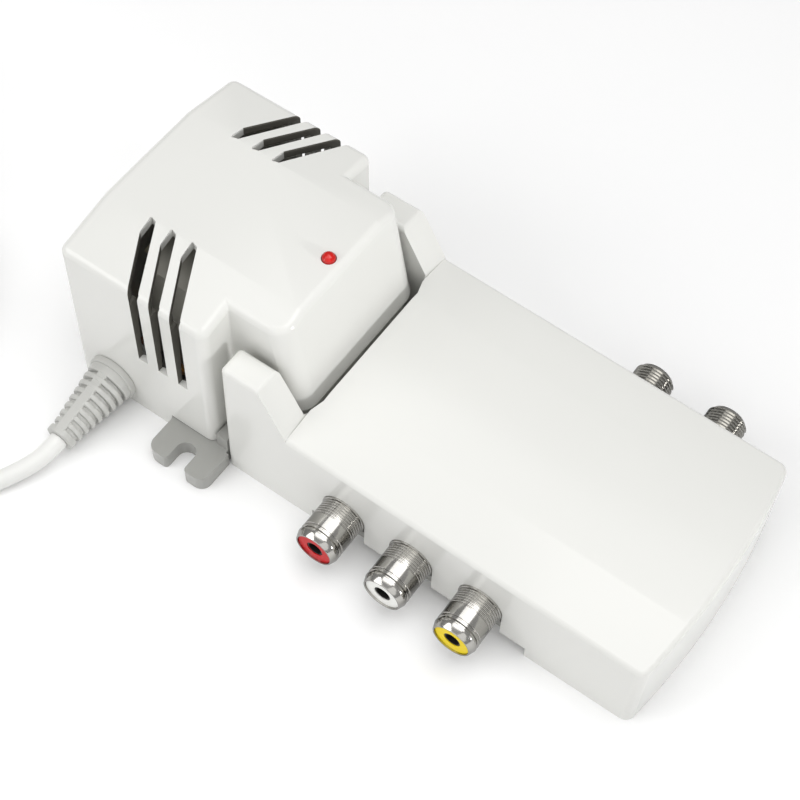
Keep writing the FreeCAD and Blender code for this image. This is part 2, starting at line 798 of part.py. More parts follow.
# Small parts on the supply board
fuseY = 4.5
fuse = [rod("y", size.supplyBoardStart + 3.5, -fuseY - 5, boardTop + 3.7, 2.5, 20)]
for y in (-fuseY - 4, fuseY + 5):
    fuse.append(block(size.supplyBoardStart + 1.5, size.supplyBoardStart + 5.5, y, y + 2, boardTop, boardTop + 3))
finish(fused(fuse), "mains_fuse")
terminalX = size.coreCentreX - size.coreStack / 2 - 2.5
terminalFront = -12.6
finish(cut(block(terminalX - 2.1, terminalX + 2.1, terminalFront, terminalFront + 8, boardTop, boardTop + 6.1),
           fused([rod("z", terminalX + 1.05 * sign, terminalFront + 4 + 1.6 * sign, boardTop + 4.2, 0.8, 3)
                  for sign in (-1, 1)])), "mains_terminal")
diodes = []
for index in range(4):
    x = size.hoodLength + 1 + 3.4 * index
    diodes.append(fused([
        rod("y", x, -16, boardTop + 1.35, 1.35, 5.2),
        rod("y", x, -17, boardTop + 1.35, 0.4, 7.2),
    ]))
group("rectifier_diodes", diodes)
group("smoothing_capacitors", [
    rod("z", size.hoodLength + 5.0, -5.0, boardTop, 4.2, 16),
    rod("z", size.lampX + 2.2, -6.2, boardTop, 2.5, 11),
])
sinkX = size.hoodLength + 0.6
heatsink = [block(sinkX, sinkX + 1.6, 3.5, 16.5, boardTop, boardTop + 26)]
for index in range(4):
    y = 3.5 + 3.8 * index
    heatsink.append(block(sinkX - 3.2, sinkX, y, y + 1.6, boardTop + 9, boardTop + 26))
finish(fused(heatsink), "regulator_heatsink")
regulator = [
    block(sinkX + 1.6, sinkX + 6.0, 5.0, 15.0, boardTop + 4, boardTop + 13),
    block(sinkX + 1.6, sinkX + 2.9, 5.0, 15.0, boardTop + 13, boardTop + 19.5),
]
for index in range(3):
    regulator.append(block(sinkX + 3.6, sinkX + 4.3, 7.0 + 2.54 * index, 7.9 + 2.54 * index, boardTop, boardTop + 4))
finish(fused(regulator), "voltage_regulator")

# Pilot lamp in the top of the neck, on a spacer that stands on the board
lamp = newBody("led_lamp", size.lampX - half, 0, 0)
lampBase = crown - size.wall - 1.2
sketchPoints = [
    (0, 0),
    (size.lampRadius + 0.45, 0),
    (size.lampRadius + 0.45, 1.0),
    (size.lampRadius, 1.0),
    (size.lampRadius, size.wall + 1.2),
    (size.lampRadius * 0.92, size.wall + 1.8),
    (size.lampRadius * 0.6, size.wall + 2.35),
    (0, size.wall + 2.6),
]
spin(lamp, sketchPoints)
lamp.Placement = FreeCAD.Placement(Vector(0, 0, 0), FreeCAD.Rotation(Vector(1, 0, 0), 90))
place(lamp, size.lampX - half, 0, lampBase)
keep(lamp, "led_lamp")
spacer = cut(rod("z", size.lampX, 0, boardTop, size.lampRadius + 0.5, lampBase - boardTop),
             fused([rod("z", size.lampX, 0.75, boardTop - 1, 0.5, lampBase + 1),
                    rod("z", size.lampX, -0.75, boardTop - 1, 0.5, lampBase + 1)]))
finish(spacer, "led_spacer")
group("led_leads", [rod("z", size.lampX, y, boardTop, 0.4, lampBase - boardTop) for y in (0.75, -0.75)])

# Low-voltage lead through both inner walls to the screened can
outlet = boardEnd - 4
group("dc_terminal", [block(outlet, boardEnd - 0.5, size.leadY - 3, size.leadY + 3, boardTop, boardTop + 6.5)])
leadStart = boardEnd - 0.5
feedReach = 1.6
leadEnd = size.canStart - feedReach
direct = rod("x", leadStart - half, size.leadY, size.leadHeight, size.leadRadius, leadEnd - leadStart)
keep(direct, "dc_lead")
feed = fused([
    rod("x", size.canStart - feedReach, size.leadY, size.leadHeight, 2.0, feedReach),
    rod("x", size.canStart - feedReach, size.leadY, size.leadHeight, 1.2, feedReach + 4),
])
finish(feed, "feedthrough")

# Screened can: folded box, lid, board and what stands on it
can = newBody("rf_can_box")
canBottom = floorTop
padUp(can, [rectangle(size.canStart, canEnd, -canHalfWidth, canHalfWidth)], canBottom,
      size.canTop - size.canSheet)
cutDown(can, [rectangle(size.canStart + size.canSheet, canEnd - size.canSheet,
                        -(canHalfWidth - size.canSheet), canHalfWidth - size.canSheet)],
        size.canTop, canBottom + size.canSheet)
phonoRoot = 3.7
aerialRoot = 3.9
cutBack(can, [("circle", x, size.phonoHeight, phonoRoot + 0.15) for x in phonoX],
        -(canHalfWidth + 1), -(canHalfWidth - size.canSheet - 1))
backHoles = [("circle", x, size.aerialHeight, aerialRoot + 0.15) for x in aerialX]
backHoles += [("circle", x, size.adjusterHeight, size.rotorRadius + 2 * size.rotorGap) for x in adjusterX]
cutBack(can, backHoles, canHalfWidth - size.canSheet - 1, canHalfWidth + 1)
cutLeft(can, [("circle", size.leadY, size.leadHeight, 1.35)], size.canStart + size.canSheet + 1, size.canStart - 1)
keep(can, "rf_can_box")
lid = newBody("rf_can_lid")
padUp(lid, [rectangle(size.canStart, canEnd, -canHalfWidth, canHalfWidth)],
      size.canTop - size.canSheet, size.canTop)
lidInner = canHalfWidth - size.canSheet - 0.1
padUp(lid, [rectangle(size.canStart + size.canSheet + 0.1, canEnd - size.canSheet - 0.1, -lidInner, lidInner)],
      size.canTop - size.canSheet - 1.6, size.canTop - size.canSheet)
cutDown(lid, [rectangle(size.canStart + 2 * size.canSheet + 0.1, canEnd - 2 * size.canSheet - 0.1,
                        -(lidInner - size.canSheet), lidInner - size.canSheet)],
        size.canTop - size.canSheet, size.canTop - size.canSheet - 2)
keep(lid, "rf_can_lid")
innerBoardTop = size.canBoardHeight + size.boardThickness
boardInset = size.canSheet + 0.2
boardX0 = size.canStart + boardInset
boardX1 = canEnd - boardInset
boardY = canHalfWidth - boardInset
group("modulator_board", [block(boardX0, boardX1, -boardY, boardY, size.canBoardHeight, innerBoardTop)])
canSpacers = []
for x in (boardX0 + 4, boardX1 - 4):
    for y in (-(boardY - 4), boardY - 4):
        canSpacers.append(rod("z", x, y, canBottom + size.canSheet, 2.0,
                              size.canBoardHeight - canBottom - size.canSheet))
group("board_spacers", canSpacers)
chips = []
for x, y, halfX, halfY in ((17, -3, 5, 9), (29.3, 2, 6, 5), (53, -4, 6, 4)):
    x = size.canStart + x
    chips.append(block(x - halfX, x + halfX, y - halfY, y + halfY, innerBoardTop, innerBoardTop + 2.6))
group("modulator_chips", chips)
crystalY = -(canHalfWidth - 9.1)
finish(fused([block(size.canStart + 6, size.canStart + 12, crystalY - 2.2, crystalY + 2.2, innerBoardTop,
                    innerBoardTop + 10),
              rod("z", size.canStart + 6, crystalY, innerBoardTop, 2.2, 10),
              rod("z", size.canStart + 12, crystalY, innerBoardTop, 2.2, 10)]), "reference_crystal")
coils = []
for index in range(3):
    x = size.canStart + 40 + 9.5 * index
    y = -16 if index < 2 else 2
    coils.append(cut(block(x, x + 7, y, y + 7, innerBoardTop, innerBoardTop + 9),
                     rod("z", x + 3.5, y + 3.5, innerBoardTop + 5, 1.6, 5)))
group("coil_cans", coils)
small = []
for x, y in ((16, 12), (24, -14), (30, -14), (52, 12), (62, -3)):
    small.append(rod("z", size.canStart + x, y, innerBoardTop, 2.4, 8))
group("board_capacitors", small)
screenX = size.canStart + 37
group("screen_wall", [block(screenX, screenX + 0.5, -(boardY - 7), boardY - 0.5, innerBoardTop,
                            size.canTop - size.canSheet - 0.1)])

# Phono sockets: turned shell on the can wall, coloured insert, sprung contact
socketSeat = canHalfWidth
flangeOut = socketSeat + size.socketFlangeThickness
barrelStart = footHalf + size.fitGap
for colour, x in zip(("red", "white", "yellow"), phonoX):
    shell = newBody("phono_shell", x - half, 0, size.phonoHeight)
    tip = size.phonoTip
    rim = size.phonoRadius - 0.55
    spin(shell, [
        (phonoRoot - 0.9, -(socketSeat - 3)),
        (phonoRoot, -(socketSeat - 3)),
        (phonoRoot, -socketSeat),
        (size.socketFlangeRadius, -socketSeat),
        (size.socketFlangeRadius, -flangeOut),
        (size.phonoRadius - 0.3, -flangeOut),
        (size.phonoRadius - 0.3, -barrelStart),
        (size.phonoRadius, -barrelStart),
        (size.phonoRadius, -(tip - 3.0)),
        (size.phonoRadius - 0.35, -(tip - 2.7)),
        (size.phonoRadius - 0.35, -(tip - 2.3)),
        (size.phonoRadius, -(tip - 2.0)),
        (size.phonoRadius, -(tip - 1.5)),
        (rim, -tip),
        (size.phonoInsertRadius, -tip),
        (size.phonoInsertRadius, -(flangeOut + 2)),
        (phonoRoot - 0.9, -(flangeOut + 2)),
    ])
    keep(shell, "phono_%s_shell" % colour)
    insert = newBody("phono_insert", x - half, 0, size.phonoHeight)
    insertRadius = size.phonoInsertRadius - 0.05
    spin(insert, [
        (1.3, -(socketSeat - 2)),
        (phonoRoot - 0.95, -(socketSeat - 2)),
        (phonoRoot - 0.95, -(flangeOut + 2.05)),
        (insertRadius, -(flangeOut + 2.05)),
        (insertRadius, -(tip - 0.35)),
        (size.phonoBoreRadius, -(tip - 0.35)),
        (size.phonoBoreRadius, -(flangeOut + 3)),
        (1.3, -(flangeOut + 3)),
    ])
    keep(insert, "phono_%s_insert" % colour)
    contact = newBody("phono_contact", x - half, 0, size.phonoHeight)
    spin(contact, [
        (0, -(socketSeat - 6)),
        (1.25, -(socketSeat - 6)),
        (1.25, -(flangeOut + 3.05)),
        (size.phonoBoreRadius - 0.05, -(flangeOut + 3.05)),
        (size.phonoBoreRadius - 0.05, -(tip - 1.5)),
        (1.62, -(tip - 1.5)),
        (1.62, -(flangeOut + 4)),
        (0, -(flangeOut + 4)),
    ])
    keep(contact, "phono_%s_contact" % colour)

# Aerial sockets: plain cylinder at the thread's outer diameter, insulator, contact sleeve
for place_name, x in zip(("input", "output"), aerialX):
    shell = newBody("aerial_shell", x - half, 0, size.aerialHeight)
    tip = size.aerialTip
    spin(shell, [
        (aerialRoot - 1.2, socketSeat - 4),
        (aerialRoot, socketSeat - 4),
        (aerialRoot, socketSeat),
        (size.socketFlangeRadius, socketSeat),
        (size.socketFlangeRadius, flangeOut),
        (size.aerialRadius - 0.3, flangeOut),
        (size.aerialRadius - 0.3, barrelStart),
        (size.aerialRadius, barrelStart),
        (size.aerialRadius, tip - 0.5),
        (size.aerialRadius - 0.5, tip),
        (size.aerialBoreRadius, tip),
        (size.aerialBoreRadius, flangeOut + 2),
        (aerialRoot - 1.2, flangeOut + 2),
    ])
    keep(shell, "aerial_%s_shell" % place_name)
    insulator = newBody("aerial_insulator", x - half, 0, size.aerialHeight)
    spin(insulator, [
        (size.aerialContactRadius, socketSeat - 3),
        (aerialRoot - 1.25, socketSeat - 3),
        (aerialRoot - 1.25, flangeOut + 2.05),
        (size.aerialBoreRadius - 0.05, flangeOut + 2.05),
        (size.aerialBoreRadius - 0.05, tip - 0.8),
        (0.8, tip - 0.8),
        (0.8, tip - 1.6),
        (size.aerialContactRadius, tip - 1.6),
    ])
    keep(insulator, "aerial_%s_insulator" % place_name)
    contact = newBody("aerial_contact", x - half, 0, size.aerialHeight)
    contactRadius = size.aerialContactRadius - 0.05
    spin(contact, [
        (0, socketSeat - 7),
        (contactRadius, socketSeat - 7),
        (contactRadius, tip - 1.65),
        (0.6, tip - 1.65),
        (0.6, tip - 8),
        (0, tip - 8),
    ])
    keep(contact, "aerial_%s_contact" % place_name)

# Adjusters: fixed body on the board, slotted rotor that faces the hole in the back wall
bodyFront = canHalfWidth - size.canSheet - 0.3
rotorBack = bodyFront + size.fitGap
rotorFront = innerHalf - 2 * size.fitGap
for label, x in (("channel", size.channelX), ("level", size.levelX)):
    z = size.adjusterHeight
    reach = size.adjusterHalf
    case = block(x - reach, x + reach, bodyFront - size.adjusterDepth, bodyFront, innerBoardTop, z + reach - 1)
    bore = rod("y", x, bodyFront - size.adjusterDepth + 1.5, z, size.rotorShaftRadius + size.rotorGap,
               size.adjusterDepth)
    finish(cut(case, bore), label + "_adjuster_body")
    rotor = newBody("rotor", x - half, 0, z)
    spin(rotor, [
        (0, bodyFront - size.adjusterDepth + 1.5 + size.rotorGap),
        (size.rotorShaftRadius, bodyFront - size.adjusterDepth + 1.5 + size.rotorGap),
        (size.rotorShaftRadius, rotorBack),
        (size.rotorRadius, rotorBack),
        (size.rotorRadius, rotorFront),
        (0, rotorFront),
    ])
    cutBack(rotor, [rectangle(-0.4, 0.4, -size.rotorRadius - 1, size.rotorRadius + 1)],
            rotorFront - 0.8, rotorFront + 1)
    keep(rotor, label + "_adjuster_rotor")

# Mains gland: collar and neck in the wall, drooping slotted tail moulded round the lead
collarThickness = 1.6
wallFace = footHalf - size.wallDraft * size.glandHeight / size.hoodEdgeHeight
collar = newBody("gland_collar", size.glandX, 0, size.glandHeight)
spin(collar, [
    (0, -(wallFace - size.wall - 1.8)),
    (size.glandNeckRadius + 1.0, -(wallFace - size.wall - 1.8)),
    (size.glandNeckRadius + 1.0, -(wallFace - size.wall - 0.2)),
    (size.glandNeckRadius, -(wallFace - size.wall - 0.2)),
    (size.glandNeckRadius, -(wallFace + 0.1)),
    (size.glandBaseRadius, -(wallFace + 0.1)),
    (size.glandBaseRadius, -(wallFace + collarThickness)),
    (0, -(wallFace + collarThickness)),
])
tail = newBody("gland_tail", size.glandX, -wallFace, size.glandHeight)
tailRotation = FreeCAD.Rotation(Vector(1, 0, 0), number(size.glandDroop))
tail.Placement = FreeCAD.Placement(Vector(0, 0, 0), tailRotation)
place(tail, size.glandX, -wallFace, size.glandHeight)
bind(tail, "Placement.Rotation.Angle", size.glandDroop)
spin(tail, [
    (0, -collarThickness / 2),
    (size.glandBaseRadius - 0.5, -collarThickness / 2),
    (size.glandBaseRadius - 0.5, -2.4),
    (size.glandTipRadius, -(size.glandLength - 2.6)),
    (size.glandTipRadius, -size.glandLength),
    (0, -size.glandLength),
])
slots = []
for index in range(int(size.glandSlotCount.value)):
    near_end = -3.0 - size.glandSlotPitch * index
    for sign in (-1, 1):
        slots.append(rectangle(size.glandSpineHalf * sign, (size.glandBaseRadius + 1) * sign,
                               near_end - size.glandSlotWidth, near_end))
cutDown(tail, slots, size.glandBaseRadius + 2, -(size.glandBaseRadius + 2))
spin(tail, [
    (0, -2.0),
    (size.glandCoreRadius, -2.0),
    (size.glandCoreRadius, -(size.glandLength - 1)),
    (0, -(size.glandLength - 1)),
])
finish(fused([collar, tail]), "strain_relief")
sheathStart = -(wallFace - size.wall - 1.8)
sheathLength = 5.0
group("mains_inner_sheath", [rod("y", size.glandX, sheathStart, size.glandHeight, size.cordDiameter / 2,
                                 sheathLength)])

doc.recompute()


# Tubes along hand-chosen routes: straight runs joined by tangent arcs
def routeWire(points):
    edges = []
    start = points[0]
    radii = []
    for index in range(1, len(points) - 1):
        corner = points[index]
        before = corner - points[index - 1]
        after = points[index + 1] - corner
        reach = 0.45 * min(before.Length, after.Length)
        turn = before.getAngle(after)
        radius = reach / math.tan(turn / 2)
        radii.append(radius)
        before.normalize()
        after.normalize()
        first = corner - before * reach
        last = corner + after * reach
        inward = after - before
        inward.normalize()
        centreDistance = radius / math.cos(turn / 2)
        halfway = corner + inward * (centreDistance - radius)
        edges.append(Part.LineSegment(start, first).toShape())
        edges.append(Part.Arc(first, halfway, last).toShape())
        start = last
    edges.append(Part.LineSegment(start, points[-1]).toShape())
    return Part.Wire(edges), radii


def sweepRound(wire, radius):
    edge = wire.Edges[0]
    start = edge.valueAt(edge.FirstParameter)
    direction = edge.tangentAt(edge.FirstParameter)
    circle = Part.Wire([Part.Circle(start, direction, radius).toShape()])
    return wire.makePipeShell([circle], True, False)


def addShape(shape, label):
    feature = doc.addObject("Part::Feature", label)
    feature.Shape = shape
    feature.Placement = FreeCAD.Placement(Vector(-number(half), 0, 0), FreeCAD.Rotation())
    return keep(feature, label)


def report(label, shape, wire, radius):
    expected = math.pi * radius * radius * wire.Length
    print(label, "length %.1f" % wire.Length, "volume %.1f, section times length %.1f" % (shape.Volume, expected))


cordRadius = number(size.cordDiameter) / 2
droop = math.radians(number(size.glandDroop))
gland = Vector(number(size.glandX), -number(wallFace), number(size.glandHeight))
glandAxis = Vector(0, -math.cos(droop), -math.sin(droop))
cordStart = gland + glandAxis * number(size.glandLength)
# Route of the free stretch, laid down to the floor and away to the coil
cordRoute = [
    cordStart,
    cordStart + glandAxis * 4.3,
    Vector(8.9, -58.2, 3.2),
    Vector(5.2, -65.0, 2.3),
    Vector(-0.6, -75.2, 2.1),
    Vector(-9.6, -83.2, 2.1),
    Vector(-21.8, -86.8, 2.1),
    Vector(-37.6, -88.1, 2.1),
    Vector(-54.65, -88.1, 2.1),
]
cordWire, cordRadii = routeWire(cordRoute)
cord = sweepRound(cordWire, cordRadius)
report("mains_cord", cord, cordWire, cordRadius)
print("mains_cord radii", [round(radius, 1) for radius in cordRadii])
addShape(cord, "mains_cord")


def biarc(p0, t0, p1, t1):
    # Two arcs that leave p0 along t0, meet tangentially and reach p1 along t1
    chord = p1 - p0
    along = chord.dot(t0 + t1)
    spread = 2 * (1 - t0.dot(t1))
    reach = (math.sqrt(along * along + spread * chord.dot(chord)) - along) / spread
    q0 = p0 + t0 * reach
    q1 = p1 - t1 * reach
    joint = (q0 + q1) * 0.5
    return [arcFrom(p0, q0, joint), arcFrom(joint, q1, p1)]


def arcFrom(start, corner, end):
    before = corner - start
    after = end - corner
    turn = before.getAngle(after)
    chordMiddle = (start + end) * 0.5
    outward = corner - chordMiddle
    sagitta = (end - start).Length / 2 * math.tan(turn / 4)
    outward.normalize()
    return Part.Arc(start, chordMiddle + outward * sagitta, end).toShape()


# Put-away coil: spirals in on the lower layer, climbs in the innermost half turn, spirals out above,
# and climbs again in the last quarter turn
coilStart = cordRoute[-1]
entry = coilStart - cordRoute[-2]
entry.z = 0
entry.normalize()
coilRadius = number(size.coilRadius)
coilStep = number(size.coilStep)
layerTurns = number(size.coilTurnsPerLayer)
layerLift = coilStep
crossingLift = number(size.cordDiameter) + 0.2
entryStraight = number(size.cordDiameter) * 1.5
straightEnd = coilStart + entry * entryStraight
toCentre = Vector(entry.y, -entry.x, 0)
coilCentre = straightEnd + toCentre * coilRadius
startAngle = math.atan2(-toCentre.y, -toCentre.x)
quarters = int(round(layerTurns * 4)) * 2 + 2


def coilState(quarter):
    # Radius and height of the spiral after a number of quarter turns
    inward = layerTurns * 4
    if quarter <= inward:
        return coilRadius - coilStep * quarter / 4, 0.0
    if quarter < inward + 2:
        share = (quarter - inward) / 2
        draw_in = 0.25 * coilStep * math.sin(math.pi * share)
        return coilRadius - coilStep * layerTurns - draw_in, layerLift * (1 - math.cos(math.pi * share)) / 2
    climb = max(0.0, quarter - quarters + 1)
    return coilRadius - coilStep * (quarters - quarter) / 4, layerLift + crossingLift * (
        1 - math.cos(math.pi * climb)) / 2


def coilPoint(quarter):
    radius, lift = coilState(quarter)
    angle = startAngle - quarter * math.pi / 2
    return coilCentre + Vector(radius * math.cos(angle), radius * math.sin(angle), lift)


def coilTangent(quarter):
    if quarter <= 0:
        return entry
    if quarter >= quarters:
        direction = coilPoint(quarters) - coilPoint(quarters - 0.002)
        direction.z = 0
    else:
        direction = coilPoint(quarter + 0.001) - coilPoint(quarter - 0.001)
    direction.normalize()
    return direction


coilEdges = [Part.LineSegment(coilStart, straightEnd).toShape()]
for quarter in range(quarters):
    coilEdges += biarc(coilPoint(quarter), coilTangent(quarter), coilPoint(quarter + 1), coilTangent(quarter + 1))
coilEnd = coilPoint(quarters)
leaving = coilTangent(quarters)
# The end turns inwards over the coil to the plug, which lies on the top layer
inwards = coilCentre - coilEnd
inwards.z = 0
inwards.normalize()
exitRadius = number(size.coilExitRadius)
plugBottom = layerLift + 2 * cordRadius
crossingEnd = coilEnd + leaving * exitRadius + inwards * exitRadius
crossingEnd.z = plugBottom + number(size.plugThickness) / 2
plugEntry = crossingEnd + inwards * 4.0
coilEdges += biarc(coilEnd, leaving, crossingEnd, inwards)
coilEdges.append(Part.LineSegment(crossingEnd, plugEntry).toShape())
coilWire = Part.Wire(coilEdges)
coil = sweepRound(coilWire, cordRadius)
report("mains_cord_coil", coil, coilWire, cordRadius)
samples = coilWire.discretize(Distance=1.5)
least = 1e9
for index, point in enumerate(samples):
    for other in samples[index + 30:]:
        least = min(least, point.distanceToPoint(other))
print("least gap of the coil to itself %.2f" % (least - 2 * cordRadius))
print("whole lead %.0f mm" % (cordWire.Length + coilWire.Length))
addShape(coil, "mains_cord_coil")

# Flat two-pin plug that lies on the coil at the end of the lead
plug = newBody("mains_plug_body")
neckHalf = 4.5
plugLength = size.plugLength
plugWidth = size.plugHalfWidth
padUp(plug, [[
    (0, -neckHalf),
    (10, -neckHalf - 0.8),
    (16, -(plugWidth - 1)),
    (plugLength - 5, -plugWidth),
    (plugLength, -(plugWidth - 2.5)),
    (plugLength, plugWidth - 2.5),
    (plugLength - 5, plugWidth),
    (16, plugWidth - 1),
    (10, neckHalf + 0.8),
    (0, neckHalf),
]], 0, size.plugThickness)
cutBack(plug, [
    [(-1, -1), (9, -1), (0, size.plugThickness / 2 - neckHalf), (-1, size.plugThickness / 2 - neckHalf)],
    [(-1, size.plugThickness + 1), (9, size.plugThickness + 1), (0, size.plugThickness / 2 + neckHalf),
     (-1, size.plugThickness / 2 + neckHalf)],
], -(plugWidth + 1), plugWidth + 1)


def plugRim(point, edge):
    return (near(point.z, 0, 0.05) or near(point.z, size.plugThickness, 0.05)) and abs(point.y) > 3 and (
        12 < point.x < plugLength.value + 0.1)


pins = newBody("mains_plug_pins")
padRight(pins, [("circle", size.pinSpacing / 2 * sign, size.plugThickness / 2, size.pinRadius)
                for sign in (-1, 1)], plugLength, plugLength + size.pinLength)
plugTurn = FreeCAD.Rotation(Vector(1, 0, 0), inwards)
for body, label in ((plug, "mains_plug_body"), (pins, "mains_plug_pins")):
    for axis in ("x", "y", "z"):
        body.setExpression("Placement.Base." + axis, None)
    body.Placement = FreeCAD.Placement(Vector(plugEntry.x - number(half), plugEntry.y, plugBottom), plugTurn)
    keep(body, label)
print("plug entry", plugEntry, "underside at", plugBottom)

# Two conductors from the end of the sheath to the mains terminal
conductorEnd = Vector(number(terminalX), number(terminalFront), number(boardTop) + 2.5)
sheathEnd = Vector(number(size.glandX), number(sheathStart) + sheathLength, number(size.glandHeight))
wires = []
for sign in (-1, 1):
    points = [
        sheathEnd + Vector(sign * 0.95, 0, 0),
        sheathEnd + Vector(sign * 0.95, 2.2, 0),
        conductorEnd + Vector(sign * 1.05, -2.8, 0),
        conductorEnd + Vector(sign * 1.05, 0, 0),
    ]
    wire, radii = routeWire(points)
    wires.append(sweepRound(wire, 0.8))
addShape(Part.makeCompound(wires), "mains_conductors")

doc.recompute()

# Nothing is written unless every object is sound
for thing in doc.Objects:
    if "Invalid" in thing.State or "Error" in thing.State:
        raise RuntimeError("%s (%s) is not sound: %s" % (thing.Name, thing.Label, thing.State))
labels = [thing.Label for thing in subParts]
if len(set(labels)) != len(labels):
    raise RuntimeError("two sub-parts share a name")
for thing in subParts:
    shape = thing.Shape
    if shape.isNull() or not shape.isValid() or not shape.Solids:
        raise RuntimeError("the shape of %s is not valid" % thing.Label)
os.makedirs("parts", exist_ok=True)
for thing in subParts:
    thing.Shape.exportStep(os.path.join("parts", thing.Label + ".step"))
print(len(subParts), "sub-parts written")
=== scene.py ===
import bpy
import bmesh
import json
import math
from mathutils import Matrix, Vector

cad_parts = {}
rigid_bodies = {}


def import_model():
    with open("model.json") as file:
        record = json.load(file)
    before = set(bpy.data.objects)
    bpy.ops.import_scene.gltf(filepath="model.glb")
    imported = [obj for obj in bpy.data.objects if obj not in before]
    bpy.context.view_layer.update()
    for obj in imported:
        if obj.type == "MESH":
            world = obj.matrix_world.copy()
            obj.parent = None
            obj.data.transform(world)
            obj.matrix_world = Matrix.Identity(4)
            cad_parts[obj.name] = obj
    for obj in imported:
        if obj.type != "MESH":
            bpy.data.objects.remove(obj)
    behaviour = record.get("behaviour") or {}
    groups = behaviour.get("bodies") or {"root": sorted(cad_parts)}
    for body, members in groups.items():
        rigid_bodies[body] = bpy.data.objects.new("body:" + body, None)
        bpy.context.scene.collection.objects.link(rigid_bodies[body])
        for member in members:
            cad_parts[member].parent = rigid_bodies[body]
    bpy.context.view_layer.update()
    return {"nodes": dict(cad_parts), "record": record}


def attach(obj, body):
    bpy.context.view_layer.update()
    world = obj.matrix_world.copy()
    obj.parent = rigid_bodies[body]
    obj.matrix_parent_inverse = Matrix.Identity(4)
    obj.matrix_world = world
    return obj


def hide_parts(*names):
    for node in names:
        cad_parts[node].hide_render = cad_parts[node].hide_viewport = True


# Small mains-powered TV modulator, dressed for a studio picture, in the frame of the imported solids.
# The frame is in metres. Sizes here are in millimetres where nothing else is said, and places along
# the case are counted from the foot of the hood's end wall.
for leftover in list(bpy.data.objects):
    bpy.data.objects.remove(leftover)
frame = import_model()
nodes = frame["nodes"]
scene = bpy.context.scene
mm = 0.001
halfLength = 73.05  # of the case; the frame's origin is in the middle of its foot


def toFrame(along):
    return (along - halfLength) * mm


def linear(hexColour):
    values = []
    for start in (0, 2, 4):
        part = int(hexColour[start:start + 2], 16) / 255
        values.append(part / 12.92 if part <= 0.04045 else ((part + 0.055) / 1.055) ** 2.4)
    return (*values, 1)


def newMaterial(name):
    material = bpy.data.materials.new(name)
    material.use_nodes = True
    material.node_tree.nodes.clear()
    return material, material.node_tree


def addNode(tree, kind, settings=None, links=None):
    node = tree.nodes.new(kind)
    for key, value in (settings or {}).items():
        if key in node.inputs:
            node.inputs[key].default_value = value
        else:
            setattr(node, key, value)
    for key, source in (links or {}).items():
        tree.links.new(source, node.inputs[key])
    return node


def finishMaterial(material, tree, shader):
    addNode(tree, "ShaderNodeOutputMaterial", links={"Surface": shader.outputs[0]})
    print("material", material.name)
    return material


# Moulded plastic from a polished tool: a glossy skin with very shallow waves that bend the
# reflections, and a little dust and handling that dulls it in patches
def mouldedPlastic(name, colour, roughness, waveMm=9.0, waveStrength=0.02, ior=1.5, dustMm=22.0,
                   spread=0.03):
    material, tree = newMaterial(name)
    place = addNode(tree, "ShaderNodeTexCoord")
    waves = addNode(tree, "ShaderNodeTexNoise", {"Scale": 1 / (waveMm * mm), "Detail": 2.0},
                    {"Vector": place.outputs["Object"]})
    dust = addNode(tree, "ShaderNodeTexNoise",
                   {"Scale": 1 / (dustMm * mm), "Detail": 4.0, "Roughness": 0.6},
                   {"Vector": place.outputs["Object"]})
    rough = addNode(tree, "ShaderNodeMapRange",
                    {"From Min": 0.35, "From Max": 0.7, "To Min": roughness,
                     "To Max": roughness + spread},
                    {"Value": dust.outputs["Fac"]})
    bump = addNode(tree, "ShaderNodeBump", {"Strength": waveStrength, "Distance": 0.2 * mm},
                   {"Height": waves.outputs["Fac"]})
    shader = addNode(tree, "ShaderNodeBsdfPrincipled", {"Base Color": linear(colour), "IOR": ior},
                     {"Roughness": rough.outputs["Result"], "Normal": bump.outputs["Normal"]})
    return finishMaterial(material, tree, shader)


# Plated or bare turned brass: mirror-like, with fine feed lines round the part's axis along Y, and
# painted shade: its colour darkens towards near black where the surface turns away from the view
def turnedPlate(name, colour, roughness, lineMm=0.12, lineDepthMm=0.02, edgeColour="2E2D2B",
                spread=0.08):
    material, tree = newMaterial(name)
    place = addNode(tree, "ShaderNodeTexCoord")
    stretch = addNode(tree, "ShaderNodeMapping", {"Scale": (0.02, 1, 0.02)},
                      {"Vector": place.outputs["Object"]})
    lines = addNode(tree, "ShaderNodeTexNoise", {"Scale": 1 / (lineMm * mm), "Detail": 2.0},
                    {"Vector": stretch.outputs["Vector"]})
    bump = addNode(tree, "ShaderNodeBump", {"Strength": 0.08, "Distance": lineDepthMm * mm},
                   {"Height": lines.outputs["Fac"]})
    rough = addNode(tree, "ShaderNodeMapRange",
                    {"From Min": 0.3, "From Max": 0.7, "To Min": roughness,
                     "To Max": roughness + spread},
                    {"Value": lines.outputs["Fac"]})
    # painted shade: the metal's colour is mixed towards the dark edge colour as the surface turns
    # from the view
    edge = addNode(tree, "ShaderNodeLayerWeight", {"Blend": 0.5})
    tint = addNode(tree, "ShaderNodeMix", {"data_type": "RGBA"})
    tint.inputs[6].default_value = linear(colour)
    tint.inputs[7].default_value = linear(edgeColour)
    tree.links.new(edge.outputs["Facing"], tint.inputs[0])
    shader = addNode(tree, "ShaderNodeBsdfPrincipled", {"Metallic": 1.0},
                     {"Base Color": tint.outputs[2], "Roughness": rough.outputs["Result"],
                      "Normal": bump.outputs["Normal"]})
    return finishMaterial(material, tree, shader)


